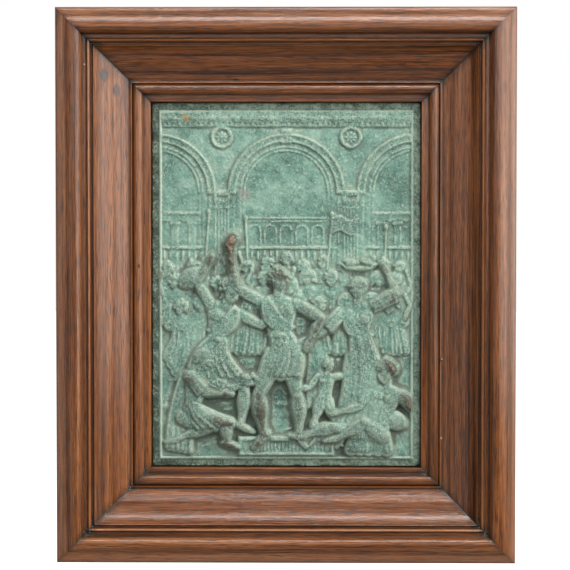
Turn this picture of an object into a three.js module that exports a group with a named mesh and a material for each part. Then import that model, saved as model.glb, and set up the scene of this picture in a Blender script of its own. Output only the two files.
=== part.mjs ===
// A framed cast plaque: a bronze relief of a feast-day crowd before an arcade, laid on a
// backing board inside four mitred lengths of polished hardwood moulding.
// Millimetres, +Z up. The back lies on the wall plane y = 0 and the front faces -Y.
import * as THREE from 'three';

// ---------------------------------------------------------------- driving sizes

const plaque = { width: 103.7, tall: 140.7, back: 4.0, field: 7.2, cornerRadius: 1.6 };
// the picture is laid out on this sheet, then brought to the plaque's size
const drawn = { width: 102, tall: 139 };
const sight = { clearance: 0.5 };
const board = { thick: 3.7, seatGap: 0.3 };
const moulding = {
  rebateWide: 6, rebateDeep: 4, mitreGap: 0.3,
  fillet: { front: 10.4 },
  bead: { centre: 4.8, halfWide: 2.0, rise: 2.1 },
  quirk: { at: 6.9, front: 10.4 },
  arris: { at: 7.1, wide: 0.35, front: 11.8 },
  ogee: { start: 8.0, startFront: 11.2, end: 14.4, front: 14.3 },
  swell: { end: 21.3, front: 19.2, steepening: 0.48 },
  waviness: 0.3,
  upperQuirk: { at: 21.7, wide: 0.7, front: 17.9 },
  lip: { at: 23.2, wide: 0.3, bevel: 0.5, front: 19.9 },
  groove: { start: 24.0, end: 25.5, front: 18.9 },
  torus: { foot: 25.7, crest: 28.4, front: 22.2 },
  // the long shoulder falling from the torus to the side
  shoulder: [[28.4, 22.2], [29.5, 22.1], [30.5, 21.8], [31.3, 21.4], [32.0, 21.05], [32.9, 20.8],
    [33.9, 20.6], [34.8, 20.35], [35.5, 19.95], [35.9, 19.2], [36.0, 18.1]],
  side: 36.0,
};
const rim = { inset: 3.1, halfWide: 0.55, rise: 0.95, slope: 0.9, edgeDrop: 0.5, edgeWide: 1.8 };
const relief = {
  cells: 256, triangles: 8400, soften: 1, wallDepth: 0.8, figureDepth: 0.46, figureDraft: 3.4,
  // a triangle's least height against its longest side, seen from the front
  thinnest: 0.06,
};

const colour = {
  stile: 0x8a5a40, rail: 0x7a4c33, board: 0x6b4a34, bronze: 0x7f9a87,
};

// ---------------------------------------------------------------- small helpers

const radians = (degrees) => degrees * Math.PI / 180;
const clamp = (value, low, high) => Math.min(Math.max(value, low), high);
const mix = (a, b, t) => a + (b - a) * t;

// A repeatable scatter from -1 to 1 for any number.
function vary(n) {
  const wave = Math.sin(n * 12.9898) * 43758.5453;
  return 2 * (wave - Math.floor(wave)) - 1;
}

// A step in a direction: 0 hangs down, 90 points to +X, 180 points up.
function toward(angle, length) {
  return [Math.sin(radians(angle)) * length, -Math.cos(radians(angle)) * length];
}

// A smooth line through rows of numbers, with steps between each pair.
function through(rows, steps) {
  const line = [];
  const row = (i) => {
    if (i < 0) return rows[0].map((value, k) => 2 * value - rows[1][k]);
    if (i < rows.length) return rows[i];
    const last = rows.length - 1;
    return rows[last].map((value, k) => 2 * value - rows[last - 1][k]);
  };
  for (let i = 0; i < rows.length - 1; i++) {
    const [a, b, c, d] = [row(i - 1), row(i), row(i + 1), row(i + 2)];
    for (let s = 0; s < steps; s++) {
      const t = s / steps;
      line.push(b.map((value, k) => 0.5 * (2 * value + (c[k] - a[k]) * t
        + (2 * a[k] - 5 * value + 4 * c[k] - d[k]) * t * t
        + (3 * value - a[k] - 3 * c[k] + d[k]) * t * t * t)));
    }
  }
  line.push(rows[rows.length - 1]);
  return line;
}

// ---------------------------------------------------------------- the carving

// A sheet of heights over the picture. Shapes are laid on it one by one, and where two
// meet the higher shows, with a small fillet between them.
class Carving {
  constructor(width, tall, cells) {
    Object.assign(this, { width, tall, cells, depth: 1, draft: 3 });
    this.h = new Float64Array((cells + 1) ** 2);
  }

  x(i) { return this.width * (i / this.cells - 0.5); }
  z(j) { return this.tall * (j / this.cells - 0.5); }

  over(x0, x1, z0, z1, height) {
    const index = (value, size) => (value / size + 0.5) * this.cells;
    const i0 = Math.max(0, Math.ceil(index(x0, this.width)));
    const i1 = Math.min(this.cells, Math.floor(index(x1, this.width)));
    const j0 = Math.max(0, Math.ceil(index(z0, this.tall)));
    const j1 = Math.min(this.cells, Math.floor(index(z1, this.tall)));
    for (let j = j0; j <= j1; j++) {
      for (let i = i0; i <= i1; i++) {
        const at = j * (this.cells + 1) + i;
        this.h[at] = height(this.x(i), this.z(j), this.h[at]);
      }
    }
  }

  join(a, b, blend) {
    return Math.max(a, b) + Math.max(blend - Math.abs(a - b), 0) ** 2 / (4 * blend);
  }

  // Rounded in section, falling away at the draft once it is that steep.
  dome(e, rise, radius) {
    const q = this.draft * radius / Math.max(rise, 1e-6);
    const turn = q / Math.sqrt(q * q + 1);
    return rise * Math.sqrt(1 - Math.min(e, turn) ** 2) - this.draft * radius * Math.max(e - turn, 0);
  }

  // A rounded form along rows of [x, z, height of its axis, radius].
  form(rows, { squash = 1, blend = 0.3, moat = 0 } = {}) {
    const moatWide = 0.7;
    const full = squash * this.depth;
    const line = rows.length > 1 ? through(rows, 4) : [rows[0], rows[0]];
    const spine = line.map(([x, z, lift, r]) => [x, z, lift * this.depth, Math.max(r, 0.05)]);
    const high = Math.max(...spine.map((p) => p[2] + p[3] * full), 0.3);
    const reach = Math.max(...spine.map((p) => p[3])) + high / this.draft + moatWide;
    const xs = spine.map((p) => p[0]);
    const zs = spine.map((p) => p[1]);
    this.over(Math.min(...xs) - reach, Math.max(...xs) + reach,
      Math.min(...zs) - reach, Math.max(...zs) + reach, (x, z, ground) => {
        let top = -99;
        let near = 99;
        let shoulder = 0;
        for (let k = 1; k < spine.length; k++) {
          const [a, b] = [spine[k - 1], spine[k]];
          const [dx, dz] = [b[0] - a[0], b[1] - a[1]];
          const t = clamp(((x - a[0]) * dx + (z - a[1]) * dz) / Math.max(dx * dx + dz * dz, 1e-9), 0, 1);
          const r = mix(a[3], b[3], t);
          const away = Math.hypot(x - a[0] - dx * t, z - a[1] - dz * t);
          top = Math.max(top, mix(a[2], b[2], t) + this.dome(away / r, full * r, r));
          if (away - r < near) {
            near = away - r;
            shoulder = mix(a[2], b[2], t) + 0.35 * full * r;
          }
        }
        let low = ground;
        if (moat && ground > 0 && near > -0.3) {
          low -= moat * clamp(1 - near / moatWide, 0, 1) ** 2 * clamp((shoulder - ground) / 0.25, 0, 1);
        }
        return this.join(low, top, blend);
      });
  }

  // An egg lying on the sheet, turned anticlockwise.
  egg(x, z, lift, rx, rz, rise, { turn = 0, blend = 0.25 } = {}) {
    const [base, up] = [lift * this.depth, rise * this.depth];
    const reach = 1.3 * Math.max(rx, rz) + Math.max(base + up, 0.3) / this.draft + 0.5;
    const [c, s] = [Math.cos(radians(turn)), Math.sin(radians(turn))];
    this.over(x - reach, x + reach, z - reach, z + reach, (px, pz, ground) => {
      const u = ((px - x) * c + (pz - z) * s) / rx;
      const v = (-(px - x) * s + (pz - z) * c) / rz;
      return this.join(ground, base + this.dome(Math.hypot(u, v), up, Math.min(rx, rz)), blend);
    });
  }

  // A flat-topped block between two x and two z.
  slab(x0, x1, z0, z1, front, bevel = 2.2) {
    const reach = Math.max(front, 0.3) / bevel + 0.4;
    this.over(x0 - reach, x1 + reach, z0 - reach, z1 + reach, (x, z, ground) => {
      const out = Math.max(x0 - x, x - x1, z0 - z, z - z1, 0);
      return this.join(ground, front - bevel * out, 0.12);
    });
  }

  // A flat-topped ring, or its upper half.
  arc(x, z, r0, r1, front, whole = false) {
    const bevel = 2.2;
    const reach = r1 + Math.max(front, 0.3) / bevel + 0.4;
    this.over(x - reach, x + reach, whole ? z - reach : z, z + reach, (px, pz, ground) => {
      const r = Math.hypot(px - x, pz - z);
      return this.join(ground, front - bevel * Math.max(r0 - r, r - r1, 0), 0.12);
    });
  }

  // A shallow channel along rows of [x, z, half width, depth].
  channel(rows) {
    const reach = 2.5 * Math.max(...rows.map((p) => p[2]));
    const xs = rows.map((p) => p[0]);
    const zs = rows.map((p) => p[1]);
    this.over(Math.min(...xs) - reach, Math.max(...xs) + reach,
      Math.min(...zs) - reach, Math.max(...zs) + reach, (x, z, ground) => {
        let cut = 0;
        for (let k = 1; k < rows.length; k++) {
          const [a, b] = [rows[k - 1], rows[k]];
          const [dx, dz] = [b[0] - a[0], b[1] - a[1]];
          const t = clamp(((x - a[0]) * dx + (z - a[1]) * dz) / (dx * dx + dz * dz), 0, 1);
          const away = Math.hypot(x - a[0] - dx * t, z - a[1] - dz * t);
          cut = Math.max(cut, mix(a[3], b[3], t) * Math.exp(-((away / mix(a[2], b[2], t)) ** 2)));
        }
        return ground - cut;
      });
  }

  // Evens each height with its neighbours, as sand and wax do before a casting.
  soften(times) {
    const row = this.cells + 1;
    for (let n = 0; n < times; n++) {
      const old = this.h.slice();
      for (let j = 1; j < this.cells; j++) {
        for (let i = 1; i < this.cells; i++) {
          const at = j * row + i;
          const sides = old[at - 1] + old[at + 1] + old[at - row] + old[at + row];
          this.h[at] = 0.5 * old[at] + 0.125 * sides;
        }
      }
    }
  }
}

// ---------------------------------------------------------------- the arcade

const arcade = {
  spring: 35.5, radius: 19.4, pier: 24.6, pierHalf: 5.0, shaftHalf: 2.6, foot: -14,
  half: 47.4, roundelRise: 21.0,
};

function carveArcade(sheet) {
  const { spring, radius, pier, pierHalf, shaftHalf, foot, half } = arcade;
  // three arches: a whole one between two that run off at the sides
  for (const x of [-2 * pier, 0, 2 * pier]) {
    const rings = [[-3.6, -2.6, 0.28], [-2.2, -0.2, 0.45], [0, 2.6, 0.95], [2.0, 2.6, 1.15]];
    for (const [inner, outer, front] of rings) {
      sheet.arc(x, spring, radius + inner, radius + outer, front);
      if (outer > 0) continue;
      for (const side of [-1, 1]) {
        const edges = [x + side * (radius + inner), x + side * (radius + outer)].sort((a, b) => a - b);
        sheet.slab(edges[0], edges[1], foot, spring, front);
      }
    }
    sheet.slab(x - 1.7, x + 1.7, spring + radius - 0.6, spring + radius + 4.6, 1.3);
  }
  for (const x of [-pier, pier]) {
    sheet.slab(x - pierHalf, x + pierHalf, foot, spring, 0.75);
    sheet.slab(x - shaftHalf, x + shaftHalf, foot, spring - 3, 1.1);
    for (let i = 0; i < 4; i++) {
      const flute = x - 1.8 + i * 1.2;
      sheet.channel([[flute, foot + 2, 0.28, 0.42], [flute, spring - 6.4, 0.28, 0.42]]);
    }
    // capital and impost
    sheet.slab(x - shaftHalf - 0.3, x + shaftHalf + 0.3, spring - 6.2, spring - 5.5, 1.3);
    for (const side of [-1, 1]) {
      sheet.form([[x + side * 2.5, spring - 2.2, 0.9, 0.85]], { squash: 0.8, blend: 0.1 });
      sheet.form([[x + side * 0.4, spring - 5.4, 0.8, 0.4], [x + side * 0.7, spring - 4, 1, 0.45],
        [x + side * 1.5, spring - 3, 1.2, 0.36]], { squash: 0.8, blend: 0.08 });
    }
    sheet.slab(x - shaftHalf - 0.6, x + shaftHalf + 0.6, spring - 1.3, spring - 0.4, 1.4);
    sheet.slab(x - pierHalf - 0.3, x + pierHalf + 0.3, spring - 0.5, spring + 0.6, 1.35);
    // roundel with a rosette above each pier
    const z = spring + arcade.roundelRise;
    sheet.arc(x, z, 3.0, 4.0, 1.0, true);
    for (let i = 0; i < 8; i++) {
      const turn = i * 45;
      sheet.egg(x + Math.cos(radians(turn)) * 1.5, z + Math.sin(radians(turn)) * 1.5, 0.2,
        1.0, 0.55, 0.65, { turn, blend: 0.06 });
    }
  }
  // far buildings, very low
  for (const side of [-1, 1]) {
    for (const x of [36.0 * side, 42.5 * side]) {
      sheet.slab(x - 1.3, x + 1.3, 0, 24, 0.42);
      sheet.slab(x - 1.8, x + 1.8, 23.2, 24.3, 0.6);
    }
    const ends = [side * 32.6, side * half].sort((a, b) => a - b);
    for (const [z0, z1, front] of [[24.3, 25.3, 0.38], [25.3, 27, 0.3], [27, 28, 0.6]]) {
      sheet.slab(ends[0], ends[1], z0, z1, front);
    }
  }
  for (let i = 0; i < 5; i++) {
    const x = -12 + i * 6;
    sheet.arc(x, 20.6, 1.9, 2.6, 0.3);
    for (const side of [-1, 1]) sheet.slab(x + side * 2.25 - 0.35, x + side * 2.25 + 0.35, 8, 20.6, 0.3);
  }
  sheet.slab(-15.4, 15.4, 25.3, 25.9, 0.42);
  // cornice under the rim, and the rail behind the crowd
  for (const [z0, z1, front] of [[60.6, 61.3, 0.8], [61.3, 62.3, 0.65], [62.3, 63.2, 1.2],
    [63.2, 64.6, 1.5], [64.6, 66, 1.2]]) {
    sheet.slab(-half, half, z0, z1, front);
  }
  sheet.slab(-half, half, 13.8, 14.8, 0.75);
}

// ---------------------------------------------------------------- people

// A head about a middle point. face runs from -1, looking to -X, to 1, looking to +X.
function carveHead(sheet, x, z, lift, size, { roll = 0, face = 0, hair = 'curls', beard = false } = {}) {
  const s = size / 2;
  const rise = 0.8 * s;
  const [c, n] = [Math.cos(radians(roll)), Math.sin(radians(roll))];
  const at = (u, v) => [x + (u * c + v * n) * s, z + (-u * n + v * c) * s];
  const f = face * 0.34;
  const top = lift + rise * 0.86;
  sheet.egg(...at(-0.12 * face, 0.18), lift, s * (0.74 + 0.12 * Math.abs(face)), s * 0.84, rise * 0.92,
    { turn: -roll });
  sheet.egg(...at(0.16 * face, -0.22), lift, s * 0.58, s * 0.74, rise, { turn: -roll });
  sheet.form([[...at(f - 0.42, 0.18), top - 0.16 * s, 0.13 * s], [...at(f * 1.25, 0.1), top, 0.12 * s],
    [...at(f + 0.42, 0.18), top - 0.16 * s, 0.13 * s]], { squash: 0.8, blend: 0.1 });
  sheet.form([[...at(f * 1.35, 0.1), top - 0.1 * s, 0.08 * s],
    [...at(f * 1.6 + face * 0.12, -0.3), top, 0.11 * s]], { blend: 0.08 });
  if (beard) {
    for (let i = -2; i <= 2; i++) {
      const t = i / 2;
      sheet.form([[...at(f * 1.1 + t * 0.45, -0.5 + 0.1 * Math.abs(t)), lift + rise * 0.7, 0.15 * s],
        [...at(f * 1.2 + t * 0.3, -1.2 + 0.25 * Math.abs(t)), lift + rise * 0.5, 0.13 * s]], { blend: 0.06 });
    }
  }
  const band = (height, wide, bow, r, up) => sheet.form([
    [...at(-wide - f * 0.3, height), lift + 0.1 * s, r * s * 0.8],
    [...at(-f * 0.2, height + bow), lift + rise * up, r * s],
    [...at(wide - f * 0.3, height), lift + 0.1 * s, r * s * 0.8]], { blend: 0.05 });
  if (hair === 'turban') {
    for (let i = 0; i < 4; i++) band(0.25 + i * 0.2, 0.8 - 0.13 * i, 0.2, 0.18, 1 - 0.13 * i);
  } else if (hair === 'hood' || hair === 'locks') {
    const spread = hair === 'hood' ? [0.86, 1.04, 1.22] : [0.8, 0.94];
    spread.forEach((g, k) => {
      const rows = [];
      for (let i = 0; i < 7; i++) {
        const a = radians(-40 + i * 260 / 6);
        rows.push([...at(Math.cos(a) * g * 0.82 - f * 0.3, Math.sin(a) * g * 0.92 + 0.05),
          lift + rise * (0.6 - 0.17 * k), 0.16 * s]);
      }
      sheet.form(rows, { blend: 0.06 });
    });
  } else {
    for (let i = 0; i < 10; i++) {
      const a = radians(-20 + i * 220 / 9);
      sheet.egg(...at(Math.cos(a) * 0.8 - f * 0.4, Math.sin(a) * 0.84 + 0.12), lift + rise * 0.35,
        0.24 * s, 0.2 * s, 0.3 * s, { blend: 0.06 });
    }
    if (hair === 'bun') sheet.egg(...at(-face, 0.42), lift + rise * 0.3, 0.3 * s, 0.3 * s, 0.3 * s);
  }
}

// Cloth hung from a top line to a hem line, in folds that spread as they fall.
// The folds' starts, ends and thickness vary from one to the next.
function carveCloth(sheet, top, hem, folds, radius, lifts, { belly = 0, sway = 0, seed = 1, moat = 0 } = {}) {
  const [[ax, az], [bx, bz]] = top;
  const [[cx, cz], [dx, dz]] = hem;
  const place = (s, t) => [mix(mix(ax, bx, s), mix(cx, dx, s), t) + sway * Math.sin(Math.PI * t),
    mix(mix(az, bz, s), mix(cz, dz, s), t)];
  for (let i = 0; i < 5; i++) {
    const s = (i + 0.5) / 5;
    const rows = [0, 0.33, 0.66, 1].map((t) => {
      const wide = mix(Math.hypot(bx - ax, bz - az), Math.hypot(dx - cx, dz - cz), t);
      const r = Math.max(wide * 0.15, radius);
      const full = belly * Math.sin(Math.PI * t) * Math.sin(Math.PI * s);
      return [...place(s, t), mix(lifts[0], lifts[1], t) + full - 0.35 * r - 0.2, r];
    });
    sheet.form(rows, { squash: 0.55, moat: i === 0 || i === 4 ? moat : 0 });
  }
  for (let i = 0; i < folds; i++) {
    const s = (i + 0.5 + 0.3 * vary(seed + i)) / folds;
    const end = s + 0.5 * vary(seed + i + 0.3) / folds;
    const edge = 1 - (2 * s - 1) ** 2;
    const thick = radius * (1 + 0.35 * vary(seed + i + 0.6));
    const start = Math.max(0, 0.25 * vary(seed + i + 0.8));
    const rows = [0, 0.25, 0.5, 0.75, 1].map((t) => {
      const q = mix(start, 1, t);
      const [x, z] = place(mix(s, end, q), q);
      const full = belly * Math.sin(Math.PI * q) * edge + 0.3 * edge - 0.15;
      return [x, z, mix(lifts[0], lifts[1], q) + full, thick * (0.45 + 0.75 * q)];
    });
    sheet.form(rows, { squash: 1.36, blend: 0.12 });
  }
}

// A limb from a to b with its radii spaced evenly along it.
function carveLimb(sheet, a, b, radii, bow = 0, moat = 0.3) {
  const [dx, dz] = [b[0] - a[0], b[1] - a[1]];
  const long = Math.max(Math.hypot(dx, dz), 1e-6);
  sheet.form(radii.map((r, i) => {
    const t = i / (radii.length - 1);
    const out = bow * Math.sin(Math.PI * t);
    return [a[0] + dx * t - dz / long * out, a[1] + dz * t + dx / long * out, mix(a[2], b[2], t), r];
  }), { squash: 0.85, blend: 0.2, moat });
}

const sides = { left: -1, right: 1 };

// One figure, eight heads tall. Its pose is a lean of the spine, a turn of the chest and,
// for each limb, [upper angle, lower angle, upper and lower foreshortening, lifts of the
// middle and end joint]. Lengths inside it are in head heights.
function carvePerson(sheet, pose) {
  const u = pose.tall / 8;
  const g = pose.stout ?? 1;
  const lean = pose.lean ?? 0;
  const turn = pose.turn ?? 0;
  const [sx, sz] = [Math.sin(radians(lean)), Math.cos(radians(lean))];
  const spine = (up, across = 0) => [pose.hips[0] + (sx * up + sz * across) * u,
    pose.hips[1] + (sz * up - sx * across) * u];
  const lift = pose.lift;
  const wide = Math.cos(radians(turn * 90));
  const hipWide = Math.max(Math.cos(radians(turn * 45)), 0.35);
  for (const cloak of pose.cloaks ?? []) {
    carveCloth(sheet, cloak.top, cloak.hem, cloak.folds, cloak.thick, cloak.lifts,
      { belly: 0.5, sway: cloak.sway, seed: cloak.seed, moat: 0.25 });
  }
  const joints = {};
  for (const [side, e] of Object.entries(sides)) {
    const tilt = radians(lean + (pose.tilt ?? 0));
    const [bx, bz] = spine(2.45);
    const shoulder = [bx + Math.cos(tilt) * e * wide * 0.86 * u, bz - Math.sin(tilt) * e * wide * 0.86 * u,
      lift + (0.15 - turn * e * 0.45) * u];
    const hip = [...spine(0, e * 0.42 * hipWide), lift + (0.2 - turn * e * 0.125) * u];
    const chain = (start, [upper, lower, shortA, shortB, liftA, liftB], lengths, base) => {
      const [ax, az] = toward(upper, lengths[0] * u * shortA);
      const [bx2, bz2] = toward(lower, lengths[1] * u * shortB);
      return [[start[0] + ax, start[1] + az, base + liftA * u],
        [start[0] + ax + bx2, start[1] + az + bz2, base + liftB * u]];
    };
    const [knee, ankle] = chain(hip, pose.legs[side], [2.0, 1.95], hip[2]);
    const [elbow, wrist] = chain(shoulder, pose.arms[side], [1.42, 1.2], shoulder[2]);
    joints[side] = { shoulder, hip, knee, ankle, elbow, wrist, e };
  }
  const { left, right } = joints;
  // legs, the farther first
  for (const side of [left, right].sort((a, b) => a.knee[2] - b.knee[2])) {
    const { hip, knee, ankle, e } = side;
    carveLimb(sheet, knee, ankle, [0.25, 0.3 * g, 0.3 * g, 0.22, 0.16, 0.14].map((r) => r * u), 0.06 * u * e);
    carveLimb(sheet, [hip[0], hip[1], hip[2] - 0.1 * u], knee,
      [0.4 * g, 0.43 * g, 0.39 * g, 0.31, 0.25].map((r) => r * u), -0.04 * u * e);
    const [fx, fz] = toward(pose.legs[side === left ? 'left' : 'right'][6], 0.52 * u);
    sheet.form([[ankle[0] - fx * 0.25, ankle[1] - fz * 0.25, ankle[2] - 0.05 * u, 0.15 * u],
      [ankle[0] + fx * 0.5, ankle[1] + fz * 0.5 - 0.05 * u, ankle[2] - 0.02 * u, 0.16 * u],
      [ankle[0] + fx * 1.35, ankle[1] + fz * 1.35 - 0.08 * u, ankle[2] - 0.2 * u, 0.11 * u]],
    { squash: 0.7, blend: 0.15, moat: 0.25 });
  }
  // trunk
  sheet.form([[left.hip[0], left.hip[1], left.hip[2] - 0.15 * u, 0.42 * u * g],
    [right.hip[0], right.hip[1], right.hip[2] - 0.15 * u, 0.42 * u * g]], { squash: 0.8, moat: 0.3 });
  for (const e of [-1, 1]) {
    sheet.form([[...spine(0.3, e * 0.18 * wide), lift + 0.05 * u, 0.38 * u * g],
      [...spine(1.3, e * 0.24 * wide), lift + 0.12 * u, 0.36 * u * g],
      [...spine(2.1, e * 0.42 * wide), lift + (0.1 - turn * e * 0.3) * u, 0.42 * u]],
    { squash: 0.95, blend: 0.35, moat: 0.3 });
  }
  const yoke = ({ shoulder: [x, z, y] }) => [x, z - 0.12 * u, y - 0.15 * u, 0.29 * u];
  sheet.form([yoke(left), [...spine(2.5), lift + 0.1 * u, 0.32 * u], yoke(right)],
    { squash: 0.9, moat: 0.25 });
  for (const e of [-1, 1]) {
    const chest = pose.dressed ? [1.9, 0.3, 0.3] : [2.02, 0.27, 0.2];
    sheet.egg(...spine(chest[0], e * 0.36 * wide + turn * 0.2), lift + (0.38 - turn * e * 0.25) * u,
      0.34 * u, chest[1] * u, chest[2] * u, { turn: -lean, blend: 0.12 });
  }
  // skirt: hung from the waist to points part of the way down both legs
  if (pose.skirt) {
    const { down, flare, folds, thick, out, belly = 0.15, sway = 0, seed, waist = 0.95 } = pose.skirt;
    const hems = [left, right].map(({ hip, knee, ankle, e }) => {
      const [from, to, t] = down <= 1 ? [hip, knee, down] : [knee, ankle, down - 1];
      return [mix(from[0], to[0], t) + e * flare * u, mix(from[1], to[1], t), mix(from[2], to[2], t)];
    });
    const half = 0.5 * Math.max(wide, 0.5);
    const line = [spine(waist, -half), spine(waist, half)];
    carveCloth(sheet, line, hems.map((p) => p.slice(0, 2)), folds, thick * u,
      [lift + 0.42 * u, (hems[0][2] + hems[1][2]) / 2 + out * u],
      { belly: belly * u, sway: sway * u, seed, moat: 0.3 });
    const ends = line.map((p) => [...p, lift + 0.1 * u, 0.13 * u]);
    const middle = [...spine(waist - 0.06, turn * 0.2), lift + 0.52 * u, 0.14 * u];
    sheet.form([ends[0], middle, ends[1]], { squash: 0.9, blend: 0.08 });
  }
  // sash: folds from one shoulder to the far hip
  for (const sash of pose.sashes ?? []) {
    const [from, to] = [spine(...sash.from), spine(...sash.to)];
    const [dx, dz] = [to[0] - from[0], to[1] - from[1]];
    const long = Math.hypot(dx, dz);
    const count = 6;
    for (let i = 0; i < count; i++) {
      const off = (i - (count - 1) / 2) * sash.gap * u;
      const row = (t, spread, up, r) => {
        const bend = off * spread - sash.bend * u * Math.sin(Math.PI * t);
        return [from[0] + dx * t - dz / long * bend, from[1] + dz * t + dx / long * bend,
          lift + up * u, r * u];
      };
      const thick = 0.1 * (1 + 0.25 * vary(i + 4));
      sheet.form([row(0, 0.5, 0.3, 0.09), row(0.3, 1, 0.46, thick), row(0.6, 1, 0.46, thick),
        row(1, 0.8, 0.25, 0.08)], { blend: 0.1 });
    }
  }
  // neck and head
  const nod = lean + (pose.nod ?? 0);
  const neck = spine(2.6);
  const head = [neck[0] + Math.sin(radians(nod)) * 0.92 * u, neck[1] + Math.cos(radians(nod)) * 0.92 * u];
  sheet.form([[...neck, lift + 0.25 * u, 0.23 * u], [...head, lift + 0.35 * u, 0.22 * u]],
    { squash: 0.9, blend: 0.2, moat: 0.2 });
  carveHead(sheet, head[0], head[1], lift + 0.3 * u, 1.08 * u,
    { roll: nod, face: pose.face, hair: pose.hair, beard: pose.beard });
  // arms, the farther first
  for (const side of [left, right].sort((a, b) => a.wrist[2] - b.wrist[2])) {
    const { shoulder, elbow, wrist } = side;
    const angles = pose.arms[side === left ? 'left' : 'right'];
    carveLimb(sheet, shoulder, elbow, [0.28, 0.26 * g, 0.24 * g, 0.18].map((r) => r * u));
    carveLimb(sheet, elbow, wrist, [0.18, 0.21 * g, 0.16, 0.11].map((r) => r * u));
    const [hx, hz] = toward(angles[1], 0.4 * u);
    sheet.form([[...wrist, 0.11 * u], [wrist[0] + hx * 0.6, wrist[1] + hz * 0.6, wrist[2], 0.15 * u],
      [wrist[0] + hx * 1.2, wrist[1] + hz * 1.2, wrist[2], 0.1 * u]], { squash: 0.7, blend: 0.1, moat: 0.2 });
    if (!pose.sleeves) continue;
    const [nx, nz] = toward(angles[0] + 90, 0.3 * u);
    const end = [0, 1].map((k) => mix(shoulder[k], elbow[k], 0.85));
    carveCloth(sheet, [[shoulder[0] - nx, shoulder[1] - nz], [shoulder[0] + nx, shoulder[1] + nz]],
      [[end[0] - nx * 1.1, end[1] - nz * 1.1], [end[0] + nx * 1.1, end[1] + nz * 1.1]], 5, 0.085 * u,
      [shoulder[2] + 0.3 * u, elbow[2] + 0.3 * u],
      { belly: 0.1 * u, seed: Math.round(pose.tall + elbow[0]) });
  }
  return joints;
}

// A bowl or tray heaped with fruit.
function carveTray(sheet, x, z, lift, half) {
  sheet.form([[x - half, z + 0.5, lift, 0.5], [x - half * 0.6, z - 0.7, lift + 0.8, 0.8],
    [x + half * 0.6, z - 0.7, lift + 0.8, 0.8], [x + half, z + 0.5, lift, 0.5]],
  { squash: 0.8, blend: 0.15, moat: 0.25 });
  for (let i = 0; i < 13; i++) {
    sheet.egg(x + 0.8 * half * vary(i + 0.5), z + 1.3 + 0.7 * vary(i + 40), lift + 0.6, 0.85, 0.85, 1.1,
      { blend: 0.08 });
  }
}

// A two-handled jar; size is its half height and roll tips it towards +X.
function carveJar(sheet, x, z, lift, size, roll) {
  const [dx, dz] = toward(180 + roll, size);
  const at = (up, across = 0) => [x + dx * up + dz * across, z + dz * up - dx * across];
  const body = [[-1.15, 0, 0.3], [-0.75, 0, 0.62], [-0.1, 0.15, 0.86], [0.45, 0.05, 0.66], [0.85, 0, 0.32],
    [1.1, 0, 0.34]];
  sheet.form(body.map(([up, out, r]) => [...at(up), lift + out * size, r * size]),
    { squash: 0.85, blend: 0.12, moat: 0.25 });
  for (const side of [-1, 1]) {
    const handle = [[0.95, 0.3, 0.09], [1.05, 0.75, 0.1], [0.6, 0.85, 0.1], [0.35, 0.7, 0.09]];
    const rows = handle.map(([up, across, r]) => [...at(up, side * across), lift + 0.1, r * size]);
    sheet.form(rows, { blend: 0.08 });
  }
}

// ---------------------------------------------------------------- the scene

const crowdRows = [
  { count: 13, z: 7.8, size: 5.2, lift: 1.5, half: 44 },
  { count: 11, z: 1.2, size: 6.0, lift: 2.2, half: 42 },
  { count: 10, z: -7.4, size: 6.6, lift: 2.8, half: 40.5 },
];
const hairStyles = ['curls', 'hood', 'locks', 'turban', 'wreath', 'curls', 'bun', 'hood', 'curls', 'locks'];
const staffs = [[-31, 5, 27, 1.5], [-14.5, 5, 24.5, -1], [15.5, 5, 26, 2], [37.5, 4, 21, 0.5]];

function carveCrowd(sheet) {
  for (const [x, foot, top, lean] of staffs) {
    sheet.form([[x, foot, 1.9, 0.36], [x + lean, top, 1.9, 0.3]], { blend: 0.1 });
    sheet.egg(x + lean, top + 1, 1.6, 0.75, 1.1, 1.2);
  }
  crowdRows.forEach((row, k) => {
    for (let i = 0; i < row.count; i++) {
      const n = 100 * k + i;
      const x = row.half * (2 * i / (row.count - 1) - 1) + 1.3 * vary(n);
      const z = row.z + 1.9 * vary(n + 0.2);
      const s = row.size * (0.99 + 0.09 * vary(n + 0.4));
      const lift = row.lift + 0.3 * vary(n + 0.6);
      const w = 0.72 * s;
      const bust = (t, drop, back, r) => [x + w * t, z - s * drop, lift - back, s * r];
      sheet.form([bust(-1, 1.15, 1.2, 0.34), bust(-0.4, 0.78, 0.6, 0.28), bust(0.4, 0.78, 0.6, 0.28),
        bust(1, 1.15, 1.2, 0.34)], { squash: 0.7, blend: 0.2, moat: 0.25 });
      const drift = 2 * vary(n + 0.7);
      carveCloth(sheet, [[x - w * 0.7, z - s * 0.75], [x + w * 0.7, z - s * 0.75]],
        [[x - w * 1.25 + drift, z - s * 2.9], [x + w * 1.25 + drift, z - s * 2.9]], 5, s * 0.09,
        [lift - 0.1, lift - 0.5], { belly: 0.4, sway: 0.8 * vary(n + 0.8), seed: n });
      const hair = hairStyles[(i * 3 + k * 4) % hairStyles.length];
      const beard = vary(n + 0.9) > 0.1 && hair !== 'bun' && hair !== 'hood';
      const face = 0.25 + 0.55 * Math.abs(vary(n + 0.1));
      carveHead(sheet, x, z, lift, s,
        { roll: 14 * vary(n + 0.3), face: vary(n + 0.5) < 0 ? -face : face, hair, beard });
    }
  });
}

function carveGround(sheet) {
  const step = { half: 18, top: -58.4, foot: -65.4 };
  sheet.slab(-step.half + 0.6, step.half - 0.6, step.foot + 0.2, step.top - 0.5, 1.7, 3);
  sheet.slab(-step.half, step.half, step.top - 1.4, step.top, 2.2, 3);
  sheet.slab(-step.half, step.half, step.foot, step.foot + 1.1, 2.1, 3);
}

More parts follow.
